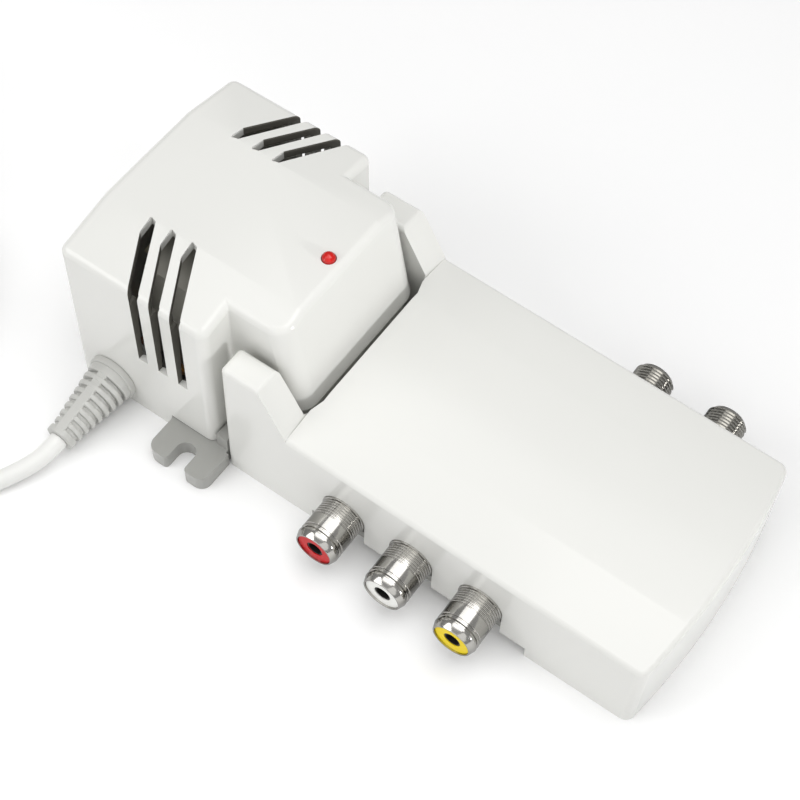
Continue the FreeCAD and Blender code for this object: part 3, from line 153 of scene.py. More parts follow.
# Sheet, drawn or plated metal inside: mottled by handling
def workedMetal(name, colour, roughness, mottleMm=4.0, spread=0.15):
    material, tree = newMaterial(name)
    place = addNode(tree, "ShaderNodeTexCoord")
    mottle = addNode(tree, "ShaderNodeTexNoise", {"Scale": 1 / (mottleMm * mm), "Detail": 5.0},
                     {"Vector": place.outputs["Object"]})
    rough = addNode(tree, "ShaderNodeMapRange",
                    {"From Min": 0.3, "From Max": 0.7, "To Min": roughness,
                     "To Max": roughness + spread},
                    {"Value": mottle.outputs["Fac"]})
    shader = addNode(tree, "ShaderNodeBsdfPrincipled",
                     {"Base Color": linear(colour), "Metallic": 1.0},
                     {"Roughness": rough.outputs["Result"]})
    return finishMaterial(material, tree, shader)


# Laminate of a circuit board: solder-mask colour with the copper lands showing through, four pin
# pitches to a pattern
def boardLaminate(name, colour, trackColour, patternMm=4 * 2.54):
    material, tree = newMaterial(name)
    place = addNode(tree, "ShaderNodeTexCoord")
    tracks = addNode(tree, "ShaderNodeTexBrick",
                     {"Scale": 1 / (patternMm * mm), "Mortar Size": 0.03,
                      "Color1": linear(colour), "Color2": linear(colour),
                      "Mortar": linear(trackColour)},
                     {"Vector": place.outputs["Object"]})
    shader = addNode(tree, "ShaderNodeBsdfPrincipled", {"Roughness": 0.35, "IOR": 1.5},
                     {"Base Color": tracks.outputs["Color"]})
    return finishMaterial(material, tree, shader)


# Dyed epoxy of the pilot lamp: deep, clear and glossy, darker through its edge, and lit from inside
def epoxyLens(name, colour, edgeColour, glow):
    material, tree = newMaterial(name)
    edge = addNode(tree, "ShaderNodeLayerWeight", {"Blend": 0.35})
    tint = addNode(tree, "ShaderNodeMix", {"data_type": "RGBA"})
    tint.inputs[6].default_value = linear(colour)
    tint.inputs[7].default_value = linear(edgeColour)
    tree.links.new(edge.outputs["Facing"], tint.inputs[0])
    shader = addNode(tree, "ShaderNodeBsdfPrincipled",
                     {"Roughness": 0.12, "IOR": 1.55, "Emission Color": linear(colour),
                      "Emission Strength": glow},
                     {"Base Color": tint.outputs[2]})
    return finishMaterial(material, tree, shader)


# One finish for each of the record's slots. Flexible PVC has a soft sheen and nylon a waxy one, so
# both are rougher than the covers. The red and yellow inserts have a low IOR, because reflections
# of the white studio would wash their dye out. Varnish gives the laminations a plastic's skin.
finishes = {
    "white_plastic": mouldedPlastic("polishedWhiteAbs", "E0E0DC", 0.13),
    "cord_white": mouldedPlastic("softWhitePvc", "EAEAE7", 0.36, waveMm=3.0, waveStrength=0.06),
    "insert_white": mouldedPlastic("whiteNylonInsert", "EDEDE9", 0.3, waveMm=3.0),
    "red_plastic": mouldedPlastic("redNylonInsert", "C40A14", 0.28, waveMm=3.0, ior=1.2),
    "yellow_plastic": mouldedPlastic("yellowNylonInsert", "F0D400", 0.28, waveMm=3.0, ior=1.2),
    "black_plastic": mouldedPlastic("blackEpoxyMoulding", "141414", 0.45, waveMm=1.0,
                                    waveStrength=0.1),
    "adjuster_blue": mouldedPlastic("blueAdjusterCase", "1D4F9E", 0.35, waveMm=2.0),
    "bobbin_nylon": mouldedPlastic("naturalNylon", "CFC9B0", 0.42, waveMm=3.0),
    "capacitor_sleeve": mouldedPlastic("shrunkSleeve", "17203A", 0.4, waveMm=2.0),
    "wire_brown": mouldedPlastic("wireInsulation", "6B4226", 0.4, waveMm=2.0),
    "winding_tape": mouldedPlastic("windingTape", "D2CDBE", 0.38, waveMm=2.0, waveStrength=0.15),
    "fuse_glass": mouldedPlastic("glazedCeramic", "E2DFD6", 0.2, waveMm=2.0),
    "red_lens": epoxyLens("redEpoxyLens", "C8120C", "7A0A06", 0.1),
    "nickel": turnedPlate("brightNickelPlate", "D2D0CB", 0.1),
    "contact_brass": turnedPlate("springBrass", "D8B872", 0.22),
    "pin_brass": turnedPlate("nickelledPin", "CFCBBF", 0.2),
    "tinned_metal": workedMetal("tinnedCopper", "C9C8C2", 0.25),
    "tinned_sheet": workedMetal("tinPlate", "BFC0BD", 0.3, mottleMm=12.0),
    "aluminium_can": workedMetal("drawnAluminium", "C6C8CA", 0.3),
    "core_steel": mouldedPlastic("varnishedLaminations", "A9A79E", 0.5, waveMm=1.0,
                                 waveStrength=0.1),
    "zinc_screw": workedMetal("zincPlate", "B5B4AE", 0.3, mottleMm=1.5),
    "board_green": boardLaminate("glassFibreBoard", "1B5C31", "2F8048"),
    "board_tan": boardLaminate("paperBoard", "9B7644", "C08A4A"),
}

# The base moulding is painted a shade greyer than the covers, and so is the bend relief than the
# lead: painted shade on the same white plastics.
# Painted shade darkens the vents' slot sides, and the contact leaves lie far down the sockets in a
# near-black finish that paints their shade.
trayPaintedShade = mouldedPlastic("satinPaintedShadeAbs", "A2A29E", 0.24)
reliefPaintedShade = mouldedPlastic("paintedShadeWhitePvc", "C0C0BC", 0.4, waveMm=3.0, waveStrength=0.06)
ventPaintedShade = mouldedPlastic("paintedShadeVentSide", "5E5C55", 0.7, waveMm=2.0, waveStrength=0.1)
# near-black finish for the spring contacts: painted shade in the socket holes
contactPaintedShade = mouldedPlastic("shadedSpringContact", "100F0D", 0.5, waveMm=2.0)

slotOf = {entry["node"]: entry["material_slot"] for entry in frame["record"]["subparts"]}
for name, node in nodes.items():
    node.data.materials.clear()
    node.data.materials.append(finishes[slotOf[name]])
print("finishes on", len(nodes), "nodes")


# Adds a made piece to the scene, in its slot's finish or in one of its own
def showPiece(piece, slot, finish=None):
    scene.collection.objects.link(piece)
    piece.data.materials.append(finish or finishes[slot])
    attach(piece, "housing")


# Mains lead: one smooth line from the gland to the put-away coil and the plug that lies on it
lead = {
    "diameter": 4.2 * mm,
    "length": 1.528,  # metres, from the gland to the plug
    "route": [
        (10.6, -48.76, 4.44),
        (10.6, -53.04, 4.03),
        (8.9, -58.2, 3.2),
        (5.2, -65.0, 2.3),
        (-0.6, -75.2, 2.1),
        (-9.6, -83.2, 2.1),
        (-21.8, -86.8, 2.1),
        (-37.6, -88.1, 2.1),
        (-54.65, -88.1, 2.1),
        (-60.95, -88.1, 2.1),
    ],
    "coilCentre": (-60.95, -52.6, 2.1),
    "coilRadius": 35.5,
    "coilStep": 4.75,  # from one turn to the next, and from the lower layer to the upper
    "turnsPerLayer": 4.25,
    "crossing": 0.5,  # turns taken to rise to the upper layer
    "crossingSwing": 0.25,  # coil steps that it swings inwards meanwhile
    "climb": 4.4,  # over the outer turns at the end, within the last share of a turn
    "climbTurns": 0.25,
    "exit": [
        (-9.0, -35.6, 9.9),
        (-15.6, -32.0, 11.0),
        (-17.0, -25.5, 12.6),
        (-17.0, -19.6, 13.6),
        (-17.0, -14.89, 13.7),
    ],
    "pointsPerTurn": 16,
}


def leadPoints():
    centre = Vector(lead["coilCentre"])
    inward = lead["turnsPerLayer"]
    total = inward * 2 + lead["crossing"]
    lift = lead["coilStep"]

    def coilPoint(turn):
        if turn <= inward:
            reach, height = lead["coilRadius"] - lead["coilStep"] * turn, 0.0
        elif turn < inward + lead["crossing"]:
            share = (turn - inward) / lead["crossing"]
            bulge = lead["crossingSwing"] * math.sin(math.pi * share)
            reach = lead["coilRadius"] - lead["coilStep"] * (inward + bulge)
            height = lift * (1 - math.cos(math.pi * share)) / 2
        else:
            climbed = max(0.0, turn - total + lead["climbTurns"]) / lead["climbTurns"]
            reach = lead["coilRadius"] - lead["coilStep"] * (total - turn)
            height = lift + lead["climb"] * (1 - math.cos(math.pi * climbed)) / 2
        # control points stand a little outside the arc that the line follows
        reach = reach / math.cos(math.pi / lead["pointsPerTurn"])
        angle = -math.pi / 2 - turn * 2 * math.pi
        return centre + Vector((reach * math.cos(angle), reach * math.sin(angle), height))

    steps = int(round(total * lead["pointsPerTurn"]))
    points = [Vector(point) for point in lead["route"]]
    points += [coilPoint((step + 0.5) / lead["pointsPerTurn"]) for step in range(steps)]
    points += [centre + Vector(point) for point in lead["exit"]]
    return [Vector((point.x - halfLength, point.y, point.z)) * mm for point in points]


def makeLead():
    curve = bpy.data.curves.new("mainsLead", "CURVE")
    curve.dimensions = "3D"
    points = leadPoints()
    line = curve.splines.new("NURBS")
    line.points.add(len(points) - 1)
    for knot, point in zip(line.points, points):
        knot.co = (*point, 1)
    line.order_u = 3
    line.use_endpoint_u = True
    line.resolution_u = 6
    curve.bevel_depth = lead["diameter"] / 2
    curve.bevel_resolution = 5
    curve.use_fill_caps = True
    piece = bpy.data.objects.new("mainsLead", curve)
    showPiece(piece, "cord_white")
    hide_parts("mains_cord", "mains_cord_coil")
    print("lead with", len(points), "points")


makeLead()

flatAngle = math.radians(0.8)  # facets turned by less than this are one face
cornerAngle = math.radians(30)  # edges turned by more than this are corners
sharpAngle = math.radians(32)  # edges turned by more than this stay sharp or are rounded
facing = 0.8  # a face whose normal has this share along an axis faces that way
mergeReach = 0.003  # corners nearer than this are one
touching = 0.01  # levels and ends nearer than this count as the same


# Working copy of a case moulding: loose triangles are merged and joined into whole flat faces, so
# that only real edges are rounded
def cleanCopy(node):
    maker = bmesh.new()
    maker.from_mesh(nodes[node].data)
    bmesh.ops.remove_doubles(maker, verts=maker.verts, dist=mergeReach * mm)
    bmesh.ops.dissolve_limit(maker, angle_limit=flatAngle, verts=maker.verts, edges=maker.edges)
    return maker


def roundEdges(maker, edges, radius):
    bmesh.ops.bevel(maker, geom=edges, offset=radius * mm, offset_type="OFFSET", segments=4,
                    profile=0.5, affect="EDGES", material=-1, clamp_overlap=True)


def finishPiece(maker, name, slot, replaced, rounding=0.0, finish=None):
    mesh = bpy.data.meshes.new(name)
    maker.to_mesh(mesh)
    maker.free()
    if "custom_normal" in mesh.attributes:
        mesh.attributes.remove(mesh.attributes["custom_normal"])
    mesh.shade_smooth()
    mesh.set_sharp_from_angle(angle=sharpAngle)
    piece = bpy.data.objects.new(name, mesh)
    if rounding:
        edge = piece.modifiers.new("softEdges", "BEVEL")
        edge.width = rounding * mm
        edge.segments = 2
        edge.limit_method = "ANGLE"
        edge.angle_limit = sharpAngle
        edge.harden_normals = True
    even = piece.modifiers.new("evenShading", "WEIGHTED_NORMAL")
    even.keep_sharp = True
    showPiece(piece, slot, finish)
    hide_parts(replaced)
    print("piece", name, len(mesh.polygons), "faces")
    return piece


hood = {
    "noseStart": 53,  # faces whose middle lies past this belong to the nose
    "noseFoot": 57.1,
    "noseCornerRadius": 4.5,
    "neckHalf": 20.6,
    "skin": 0.9,  # what lies nearer than this to the outside of the nose is its outer face
    "slopeEnd": 24.5,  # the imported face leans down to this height, and this one on to rollTop
    "lean": 0.214,
    "rollTop": 22.4,  # from here the foot rolls under
    "rollDrop": 2.0,
    "rollRadius": 2.2,
    "rollSteps": 6,
    "neckRoot": 39,  # where the neck meets the wide part
    "neckRootRadius": 1.3,
    "neckRootReach": 2.3,
    "neckRootFoot": 0.5,
    "ventStarts": (13.3, 18.75, 24.2),
    "ventSweep": 7.5,  # how far each slot runs along the case on its way across the roof
    "ventInner": 13.2,  # half widths where a slot starts and where it turns down the wall
    "ventOuter": 29.1,
    "ventShoulder": 41,
    "ventBottom": 20.5,
    "ventHalf": 1.15,
    "ventNear": 0.25,  # a slot's side lies this near to its half width
    "ventWiden": 0.22,
    "ventInside": 26.9,  # half width of the wall's inner face, which is thinned round the slots
    "ventInsideReach": 0.35,
    "ventThinning": 0.9,
    "ventSlant": 2.8,  # how far across the case a slot's inner corner slides
    "ventEndShare": (-1.5, -0.5),  # of a slot's half width: its side towards the end wall
    "ventEndReach": 1.5,
    "roofFoot": 40,  # what stands higher belongs to the roof
    "ledgeTop": 45.9,
    "ledgeHalf": 1.3,
    "ledgeReach": 25,
    "ledgeArea": 12,
    "edge": 0.35,
}


# Nose: cut level by level near its foot, so that its outer face can go on leaning and roll under
def rollNoseFoot(maker):
    for step in range(hood["rollSteps"] + 1):
        level = hood["rollTop"] - hood["rollDrop"] * step / hood["rollSteps"]
        near = [face for face in maker.faces
                if face.calc_center_median().x > toFrame(hood["noseStart"])]
        parts = near + list({edge for face in near for edge in face.edges})
        parts += list({corner for face in near for corner in face.verts})
        bmesh.ops.bisect_plane(maker, geom=parts, plane_co=(0, 0, level * mm),
                               plane_no=(0, 0, 1))
    arcX = hood["noseFoot"] - hood["noseCornerRadius"]
    arcY = hood["neckHalf"] - hood["noseCornerRadius"]
    for corner in maker.verts:
        x = corner.co.x / mm + halfLength
        y = corner.co.y / mm
        z = corner.co.z / mm
        if x < arcX or z > hood["slopeEnd"] - touching:
            continue
        outward = Vector((x - arcX, math.copysign(max(0.0, abs(y) - arcY), y), 0))
        if outward.length < hood["noseCornerRadius"] - hood["skin"]:
            continue
        drop = min(max(0.0, hood["rollTop"] - z), hood["rollDrop"])
        turned = hood["rollRadius"] - math.sqrt(hood["rollRadius"] ** 2 - drop ** 2)
        turned -= (hood["slopeEnd"] - max(z, hood["rollTop"])) * hood["lean"]
        corner.co -= outward.normalized() * turned * mm


# How far a point lies, along the case, from the middle line of the vent with a given start
def ventOffset(spot, start):
    reach = (abs(spot.y) - hood["ventInner"]) / (hood["ventOuter"] - hood["ventInner"])
    share = 1.0 if spot.z < hood["ventShoulder"] else min(1.0, max(0.0, reach))
    return spot.x + halfLength - start - hood["ventSweep"] * share


# Vents: the slots' sides and the ledges at the shoulder get a dark finish of painted shade
def markVents(maker):
    sides = []
    for face in maker.faces:
        middle = face.calc_center_median() / mm
        offsets = [abs(ventOffset(middle, start)) for start in hood["ventStarts"]]
        away = min(abs(offset - hood["ventHalf"]) for offset in offsets)
        facesAlong = abs(face.normal.x) > facing
        if away < hood["ventNear"] and middle.z > hood["ventBottom"] and facesAlong:
            face.material_index = 1
            sides.append(face)
        atShoulder = hood["roofFoot"] < middle.z < hood["ledgeTop"]
        outside = abs(middle.y) > hood["ledgeReach"] and min(offsets) < hood["ledgeHalf"]
        if atShoulder and outside and face.calc_area() < hood["ledgeArea"] * mm * mm:
            face.material_index = 1
    print("slot sides", len(sides))
    return sides


# Vents: the slots are widened a little, and the wall is thinned from inside where they cut it
def openVents(maker, sides):
    for corner in {corner for face in sides for corner in face.verts}:
        spot = corner.co / mm
        start = min(hood["ventStarts"], key=lambda value: abs(ventOffset(spot, value)))
        corner.co.x += math.copysign(hood["ventWiden"], ventOffset(spot, start)) * mm
        onWall = hood["ventBottom"] < spot.z < hood["ventShoulder"]
        if onWall and abs(abs(spot.y) - hood["ventInside"]) < hood["ventInsideReach"]:
            corner.co.y += math.copysign(hood["ventThinning"] * mm, corner.co.y)
    maker.normal_update()


# Vents: one corner of each slot's inner end slides along the slot, so that the end is slanted; the
# corner stays in the plane of the roof
def slantVentEnds(maker):
    first, last = hood["ventEndShare"]
    lean = hood["ventSweep"] / (hood["ventOuter"] - hood["ventInner"])
    for corner in maker.verts:
        spot = corner.co / mm
        start = min(hood["ventStarts"], key=lambda value: abs(spot.x + halfLength - value))
        share = (spot.x + halfLength - start) / hood["ventHalf"]
        atEnd = abs(abs(spot.y) - hood["ventInner"]) < hood["ventEndReach"]
        if spot.z > hood["roofFoot"] and first < share < last and atEnd:
            level = [face for face in corner.link_faces if abs(face.normal.z) > facing]
            roof = max(level, key=lambda face: face.calc_area()).normal.copy()
            across = math.copysign(hood["ventSlant"], spot.y)
            shift = Vector((hood["ventSlant"] * lean, across, 0))
            shift.z = -(roof.x * shift.x + roof.y * shift.y) / roof.z
            corner.co += shift * mm


# Hollow upright edges where the neck meets the wide part
def neckRootEdges(maker):
    roots = []
    reach = hood["neckRootReach"]
    for edge in maker.edges:
        spots = [corner.co / mm for corner in edge.verts]
        byRoot = all(abs(spot.x + halfLength - hood["neckRoot"]) < reach
                     and abs(abs(spot.y) - hood["neckHalf"]) < reach
                     and spot.z > hood["neckRootFoot"] for spot in spots)
        hollow = len(edge.link_faces) == 2 and edge.calc_face_angle_signed(0) < -cornerAngle
        if byRoot and hollow:
            roots.append(edge)
    print("hollow edges at the root of the neck", len(roots))
    return roots


def makeHood():
    maker = cleanCopy("psu_hood")
    rollNoseFoot(maker)
    openVents(maker, markVents(maker))
    slantVentEnds(maker)
    roundEdges(maker, neckRootEdges(maker), hood["neckRootRadius"])
    piece = finishPiece(maker, "hoodCover", "white_plastic", "psu_hood", hood["edge"])
    # second finish: painted shade on the slots' sides and the ledges at the shoulder
    piece.data.materials.append(ventPaintedShade)


makeHood()

slab = {"edge": 0.4}


# Slab cover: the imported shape, with soft edges
def makeSlab():
    maker = cleanCopy("slab_cover")
    finishPiece(maker, "slabCover", "white_plastic", "slab_cover", slab["edge"])


makeSlab()

tray = {"edge": 0.4, "earCorner": 1.0, "earReach": 33.5}


# Base tray: the ends of the two ears are rounded in plan
def makeTray():
    maker = cleanCopy("base_tray")
    corners = []
    for edge in maker.edges:
        if len(edge.link_faces) != 2 or edge.calc_face_angle(0) < cornerAngle:
            continue
        first, second = edge.verts
        upright = (first.co.xy - second.co.xy).length < touching * mm
        if upright and abs(first.co.y) > tray["earReach"] * mm:
            corners.append(edge)
    print("ear corners", len(corners))
    roundEdges(maker, corners, tray["earCorner"])
    # the tray's finish is a grey copy of the white plastic: painted shade
    finishPiece(maker, "baseTray", "white_plastic", "base_tray", tray["edge"], trayPaintedShade)


makeTray()


# A turned part: its half section, given as radius and place along the axis, is spun round the axis
def turnedPart(section, facets):
    maker = bmesh.new()
    corners = [maker.verts.new((radius * mm, along * mm, 0)) for radius, along in section]
    for corner, following in zip(corners, corners[1:] + corners[:1]):
        maker.edges.new((corner, following))
    bmesh.ops.spin(maker, geom=list(maker.verts) + list(maker.edges), cent=(0, 0, 0),
                   axis=(0, 1, 0), angle=2 * math.pi, steps=facets, use_merge=True)
    bmesh.ops.remove_doubles(maker, verts=maker.verts, dist=0.001 * mm)
    bmesh.ops.recalc_face_normals(maker, faces=maker.faces)
    return maker


def moveTo(maker, along, height):
    bmesh.ops.translate(maker, vec=(toFrame(along), 0, height * mm), verts=maker.verts)


phono = {
    "places": {"red": 74.0, "white": 91.4, "yellow": 108.8},
    "height": 10.6,
    "radius": 5.1,
    "root": -24.6,
    "wall": -29.8,
    "tip": -39.9,
    "backRadius": 3.7,
    "flangeRadius": 5.9,
    "flange": 1.4,
    "waist": 0.3,
    "holeFill": 5.35,
    "holeDepth": 2.6,
    "shoulder": (0.1, 0.15),  # off the radius and off the length, where the barrel leaves the wall
    "insertRadius": 4.2,
    "insertSeat": 3.4,
    "ribs": 6,
    "ribPitch": 0.62,
    "rib": [(0.02, 0.12), (0.02, 0.341), (0.16, 0.434), (0.16, 0.589)],  # depth, place along
    "collar": [  # depth under the barrel's radius, distance from the tip
        (0.04, 3.45), (0.22, 3.3), (0.22, 3.1), (0, 2.95), (0, 2.55), (0.35, 2.35),
        (0.35, 2.05), (0, 1.85), (0, 1.45), (0.1, 1.2), (0.52, 0.1), (0.6, 0),
    ],
    "facets": 96,
}


# Phono shells: fine ribs at the root, a plain body, two scribed rings and a chamfered collar
def makePhonoShells():
    radius, root, wall, tip = (phono[key] for key in ("radius", "root", "wall", "tip"))
    back = root - phono["flange"]
    inWall = wall + phono["holeDepth"]
    inset, bevel = phono["shoulder"]
    section = [(phono["backRadius"], root), (phono["flangeRadius"], root),
               (phono["flangeRadius"], back), (radius - phono["waist"], back),
               (radius - phono["waist"], inWall), (phono["holeFill"], inWall),
               (phono["holeFill"], wall + bevel), (radius - inset, wall)]
    for number in range(phono["ribs"]):
        start = wall - phono["ribPitch"] * number
        section += [(radius - depth, start - along) for depth, along in phono["rib"]]
    end = wall - phono["ribPitch"] * phono["ribs"]
    section.append((radius - phono["collar"][0][0], end - 0.1))
    section += [(radius - depth, tip + along) for depth, along in phono["collar"]]
    seat = root - phono["insertSeat"]
    section += [(phono["insertRadius"], tip), (phono["insertRadius"], seat),
                (phono["backRadius"], seat)]
    for colour, x in phono["places"].items():
        maker = turnedPart(section, phono["facets"])
        moveTo(maker, x, phono["height"])
        finishPiece(maker, colour + "PhonoShell", "nickel", "phono_%s_shell" % colour)


makePhonoShells()

contact = {
    "tailRadius": 1.25,
    "sleeveRadius": 1.96,
    "boreRadius": 1.62,
    "tail": -18.6,
    "sleeveRoot": -29.1,
    "boreFloor": -30.5,
    "setback": 0.5,
    "facets": 40,
}


# Spring contacts: a sleeve deep in each insert, in a near-black finish of painted shade, so that the
# hole reads dark
def makePhonoContacts():
    front = phono["tip"] + contact["setback"]
    section = [(0, contact["tail"]), (contact["tailRadius"], contact["tail"]),
               (contact["tailRadius"], contact["sleeveRoot"]),
               (contact["sleeveRadius"], contact["sleeveRoot"]),
               (contact["sleeveRadius"], front), (contact["boreRadius"], front),
               (contact["boreRadius"], contact["boreFloor"]), (0, contact["boreFloor"])]
    for colour, x in phono["places"].items():
        maker = turnedPart(section, contact["facets"])
        moveTo(maker, x, phono["height"])
        finishPiece(maker, colour + "PhonoContact", "contact_brass",
                    "phono_%s_contact" % colour, finish=contactPaintedShade)


makePhonoContacts()

aerial = {
    "places": {"input": 109.8, "output": 128.2},
    "height": 11.0,
    "radius": 4.76,
    "root": 4.3,
    "wall": 29.8,
    "tip": 38.9,
    "chamfer": (0.2, 0.5),  # off the radius and off the length
    "seat": 24.6,
    "seatRadius": 3.9,
    "seatDepth": 3.4,
    "flangeRadius": 5.9,
    "flange": 1.4,
    "boreRadius": 3.5,
    "threadPitch": 25.4 / 32,
    "threadSink": 0.04,
    "threadCrest": (0.44, 0.56),  # shares of the pitch
    "stepsPerTurn": 40,
    "facets": 72,
}


# Aerial shells: a real 3/8 inch thread of 32 to the inch, wound round the barrel
def makeAerialShells():
    root, seat, tip, pitch = (aerial[key] for key in ("root", "seat", "tip", "threadPitch"))
    inset, bevel = aerial["chamfer"]
    back = seat + aerial["flange"]
    bottom = seat + aerial["seatDepth"]
    section = [(aerial["seatRadius"], seat), (aerial["flangeRadius"], seat),
               (aerial["flangeRadius"], back), (root, back), (root, tip - bevel),
               (root - inset, tip), (aerial["boreRadius"], tip), (aerial["boreRadius"], bottom),
               (aerial["seatRadius"], bottom)]
    foot = root - aerial["threadSink"]
    rising, falling = aerial["threadCrest"]
    thread = [(foot, 0.0), (aerial["radius"], pitch * rising),
              (aerial["radius"], pitch * falling), (foot, pitch)]
    turns = int((tip - bevel - aerial["wall"]) / pitch)
    for place, x in aerial["places"].items():
        maker = turnedPart(section, aerial["facets"])
        corners = [maker.verts.new((radius * mm, (aerial["wall"] + along) * mm, 0))
                   for radius, along in thread]
        edges = [maker.edges.new(pair) for pair in zip(corners, corners[1:])]
        bmesh.ops.spin(maker, geom=corners + edges, cent=(0, 0, 0), axis=(0, 1, 0),
                       angle=2 * math.pi * turns, steps=turns * aerial["stepsPerTurn"],
                       dvec=(0, pitch / aerial["stepsPerTurn"] * mm, 0))
        bmesh.ops.remove_doubles(maker, verts=maker.verts, dist=0.002 * mm)
        bmesh.ops.recalc_face_normals(maker, faces=maker.faces)
        moveTo(maker, x, aerial["height"])
        finishPiece(maker, place + "AerialShell", "nickel", "aerial_%s_shell" % place)


makeAerialShells()

relief = {
    "x": 10.6,
    "wall": -29.36,
    "height": 6.3,
    "droop": 5.5,
    "length": 19.4,
    "collarRadius": 6.1,
    "collarLength": 1.6,
    "collarSink": 0.05,
    "neckRadius": 4.15,  # the part that passes through the wall
    "neckLength": 4.0,
    "neckInset": 1.9,
    "baseRadius": 5.6,
    "baseStart": 0.9,
    "baseEnd": 3.1,
    "taperStart": 2.4,
    "taperSetback": 2.6,  # from here to the tip the radius stays the same
    "tipRadius": 3.5,
    "coreStart": 1.2,
    "coreSetback": 0.2,
    "coreRadius": 4.5,
    "coreTipRadius": 2.75,
    "rings": 8,
    "ringPitch": 1.98,
    "ringWidth": 1.22,
    "spineWidth": 2.4,
    "spineStart": 2.0,
    "spineSetback": 0.5,
    "spineSink": 0.12,
    "edge": 0.28,
}


# Bend relief: tapered, cut by slots on both sides of a spine along its top and its underside
def makeRelief():
    maker = bmesh.new()
    length = relief["length"]
    upright = Matrix.Rotation(math.pi / 2, 4, "X")

    def disc(start, end, startRadius, endRadius, segments=56):
        middle = Matrix.Translation((0, -(start + end) / 2 * mm, 0))
        bmesh.ops.create_cone(maker, cap_ends=True, segments=segments,
                              radius1=startRadius * mm, radius2=endRadius * mm,
                              depth=(end - start) * mm, matrix=middle @ upright)

    def reach(along):
        taper = length - relief["taperSetback"] - relief["taperStart"]
        share = min(1.0, max(0.0, along - relief["taperStart"]) / taper)
        return relief["baseRadius"] + (relief["tipRadius"] - relief["baseRadius"]) * share

    disc(relief["coreStart"], length - relief["coreSetback"], relief["coreRadius"],
         relief["coreTipRadius"])
    disc(relief["baseStart"], relief["baseEnd"], relief["baseRadius"], reach(relief["baseEnd"]))
    along = relief["baseEnd"] + relief["ringPitch"] - relief["ringWidth"]
    for ring in range(relief["rings"]):
        last = ring == relief["rings"] - 1
        end = length if last else along + relief["ringWidth"]
        disc(along, end, reach(along), reach(end))
        along += relief["ringPitch"]
    for corner in bmesh.ops.create_cube(maker, size=1.0)["verts"]:
        tipSide = corner.co.y < 0
        place = length - relief["spineSetback"] if tipSide else relief["spineStart"]
        height = reach(length if tipSide else relief["spineStart"]) - relief["spineSink"]
        corner.co = Vector((math.copysign(relief["spineWidth"] / 2, corner.co.x), -place,
                            math.copysign(height, corner.co.z))) * mm
    bmesh.ops.rotate(maker, verts=maker.verts, cent=(0, 0, 0),
                     matrix=Matrix.Rotation(math.radians(relief["droop"]), 3, "X"))
    # the collar and the neck stand square to the wall
    collarEnd = relief["collarLength"] + relief["collarSink"]
    disc(relief["collarSink"], collarEnd, relief["collarRadius"], relief["collarRadius"], 72)
    neckEnd = relief["neckLength"] / 2 - relief["neckInset"]
    disc(neckEnd - relief["neckLength"], neckEnd, relief["neckRadius"], relief["neckRadius"], 48)
    bmesh.ops.translate(maker, verts=maker.verts, vec=(0, relief["wall"] * mm, 0))
    moveTo(maker, relief["x"], relief["height"])
    bmesh.ops.recalc_face_normals(maker, faces=maker.faces)
    # the bend relief's finish is a grey copy of the lead's white PVC: painted shade
    finishPiece(maker, "bendRelief", "cord_white", "strain_relief", relief["edge"], reliefPaintedShade)


makeRelief()

# Camera where the photograph was taken from: its place and axes, and its lens in picture pixels
view = {
    "place": (104.32, -165.73, 337.44),
    "right": (0.81300, 0.58199, 0.01782),
    "up": (-0.50500, 0.68956, 0.51912),
    "back": (0.28984, -0.43104, 0.85452),
    "focalPixels": 1744.36,
    "centre": (393.3, 403.0),
    "pixels": 800,
}


def makeCamera():
    data = bpy.data.cameras.new("studioCamera")
    camera = bpy.data.objects.new("studioCamera", data)
    scene.collection.objects.link(camera)
    columns = Matrix((view["right"], view["up"], view["back"])).transposed()
    camera.matrix_world = Matrix.Translation(Vector(view["place"]) * mm) @ columns.to_4x4()
    data.sensor_width = 36
    data.lens = view["focalPixels"] * data.sensor_width / view["pixels"]
    data.shift_x = (view["pixels"] / 2 - view["centre"][0]) / view["pixels"]
    data.shift_y = (view["centre"][1] - view["pixels"] / 2) / view["pixels"]
    data.clip_start = 0.01
    data.clip_end = 20
    scene.camera = camera
    print("camera at", [round(value, 4) for value in camera.location])


makeCamera()

floor = {"halfWidth": 3.0, "fibresPerMm": 0.9}  # half width in metres


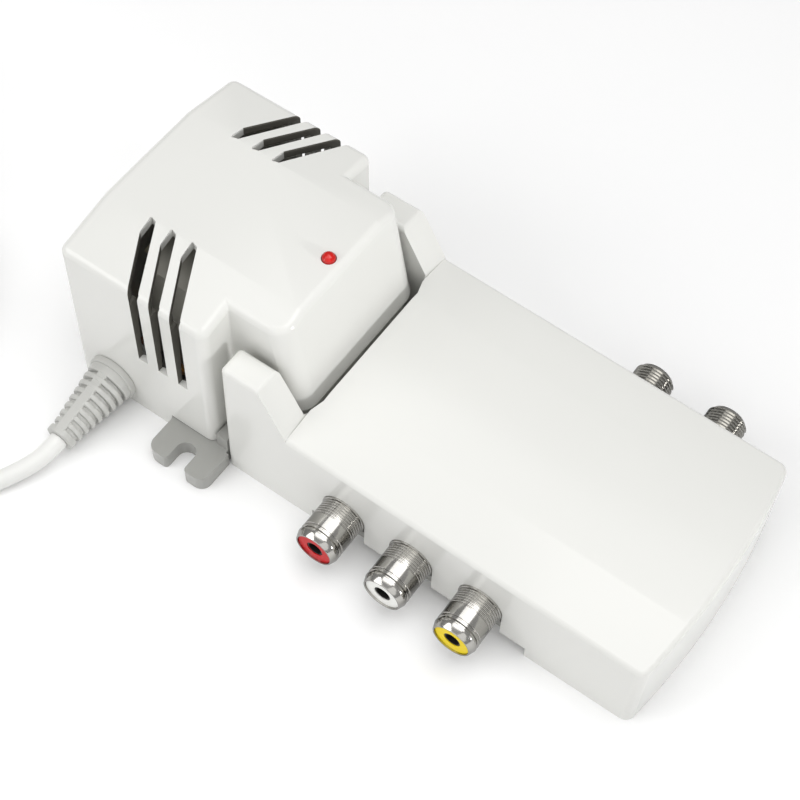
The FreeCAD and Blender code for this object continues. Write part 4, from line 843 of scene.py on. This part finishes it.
# White paper sweep: matt, with fibres that only just break up its roughness, drawn coarse to show
def makeFloor():
    mesh = bpy.data.meshes.new("studioFloor")
    maker = bmesh.new()
    bmesh.ops.create_grid(maker, x_segments=1, y_segments=1, size=floor["halfWidth"])
    maker.to_mesh(mesh)
    maker.free()
    piece = bpy.data.objects.new("studioFloor", mesh)
    scene.collection.objects.link(piece)
    material, tree = newMaterial("whitePaperSweep")
    place = addNode(tree, "ShaderNodeTexCoord")
    fibre = addNode(tree, "ShaderNodeTexNoise", {"Scale": floor["fibresPerMm"] / mm},
                    {"Vector": place.outputs["Object"]})
    rough = addNode(tree, "ShaderNodeMapRange", {"To Min": 0.8, "To Max": 0.95},
                    {"Value": fibre.outputs["Fac"]})
    shader = addNode(tree, "ShaderNodeBsdfPrincipled",
                     {"Base Color": linear("FEFEFE"), "Specular IOR Level": 0.1},
                     {"Roughness": rough.outputs["Result"]})
    mesh.materials.append(finishMaterial(material, tree, shader))


makeFloor()

# Lights in metres and watts: broad soft boxes, and a narrow beam along the case that lights the
# leaning nose and the slopes of the lugs
lights = {
    "world": 0.345,
    "aim": (0, 0, 0.02),
    "boxes": {  # place, width, power
        "overheadBox": ((0.0, 0.0, 0.9), 0.9, 3.7),
        "nearBox": ((0.14, 0.03, 0.46), 0.3, 0.4),
        "frontBox": ((-0.05, -0.8, 0.5), 0.6, 0.65),
        "leftBox": ((-0.5, -0.5, 0.5), 0.5, 2.0),
        "rightBox": ((0.5, -0.5, 0.45), 0.5, 0.45),
    },
    "beamPlace": (0.576, 0.0, 0.146),
    "beamAim": (-0.018, 0, 0.035),
    "beamPower": 13.0,
    "beamDegrees": 7.6,
    "beamBlend": 0.7,
    "beamSoftness": 0.05,
}


def addLight(name, kind, place, aim, power):
    data = bpy.data.lights.new(name, kind)
    data.energy = power
    lamp = bpy.data.objects.new(name, data)
    lamp.location = place
    lamp.rotation_euler = (Vector(place) - Vector(aim)).to_track_quat("Z", "Y").to_euler()
    scene.collection.objects.link(lamp)
    return data


def makeStudio():
    world = bpy.data.worlds.new("studioWorld")
    world.use_nodes = True
    backdrop = world.node_tree.nodes["Background"]
    backdrop.inputs["Color"].default_value = (1, 1, 1, 1)
    backdrop.inputs["Strength"].default_value = lights["world"]
    scene.world = world
    for name, (place, width, power) in lights["boxes"].items():
        box = addLight(name, "AREA", place, lights["aim"], power)
        box.shape = "RECTANGLE"
        box.size = box.size_y = width
    beam = addLight("noseBeam", "SPOT", lights["beamPlace"], lights["beamAim"],
                    lights["beamPower"])
    beam.spot_size = math.radians(lights["beamDegrees"])
    beam.spot_blend = lights["beamBlend"]
    beam.shadow_soft_size = lights["beamSoftness"]
    scene.view_settings.view_transform = "Standard"
    scene.view_settings.look = "None"
    print("studio ready with", len(lights["boxes"]) + 1, "lights")


makeStudio()
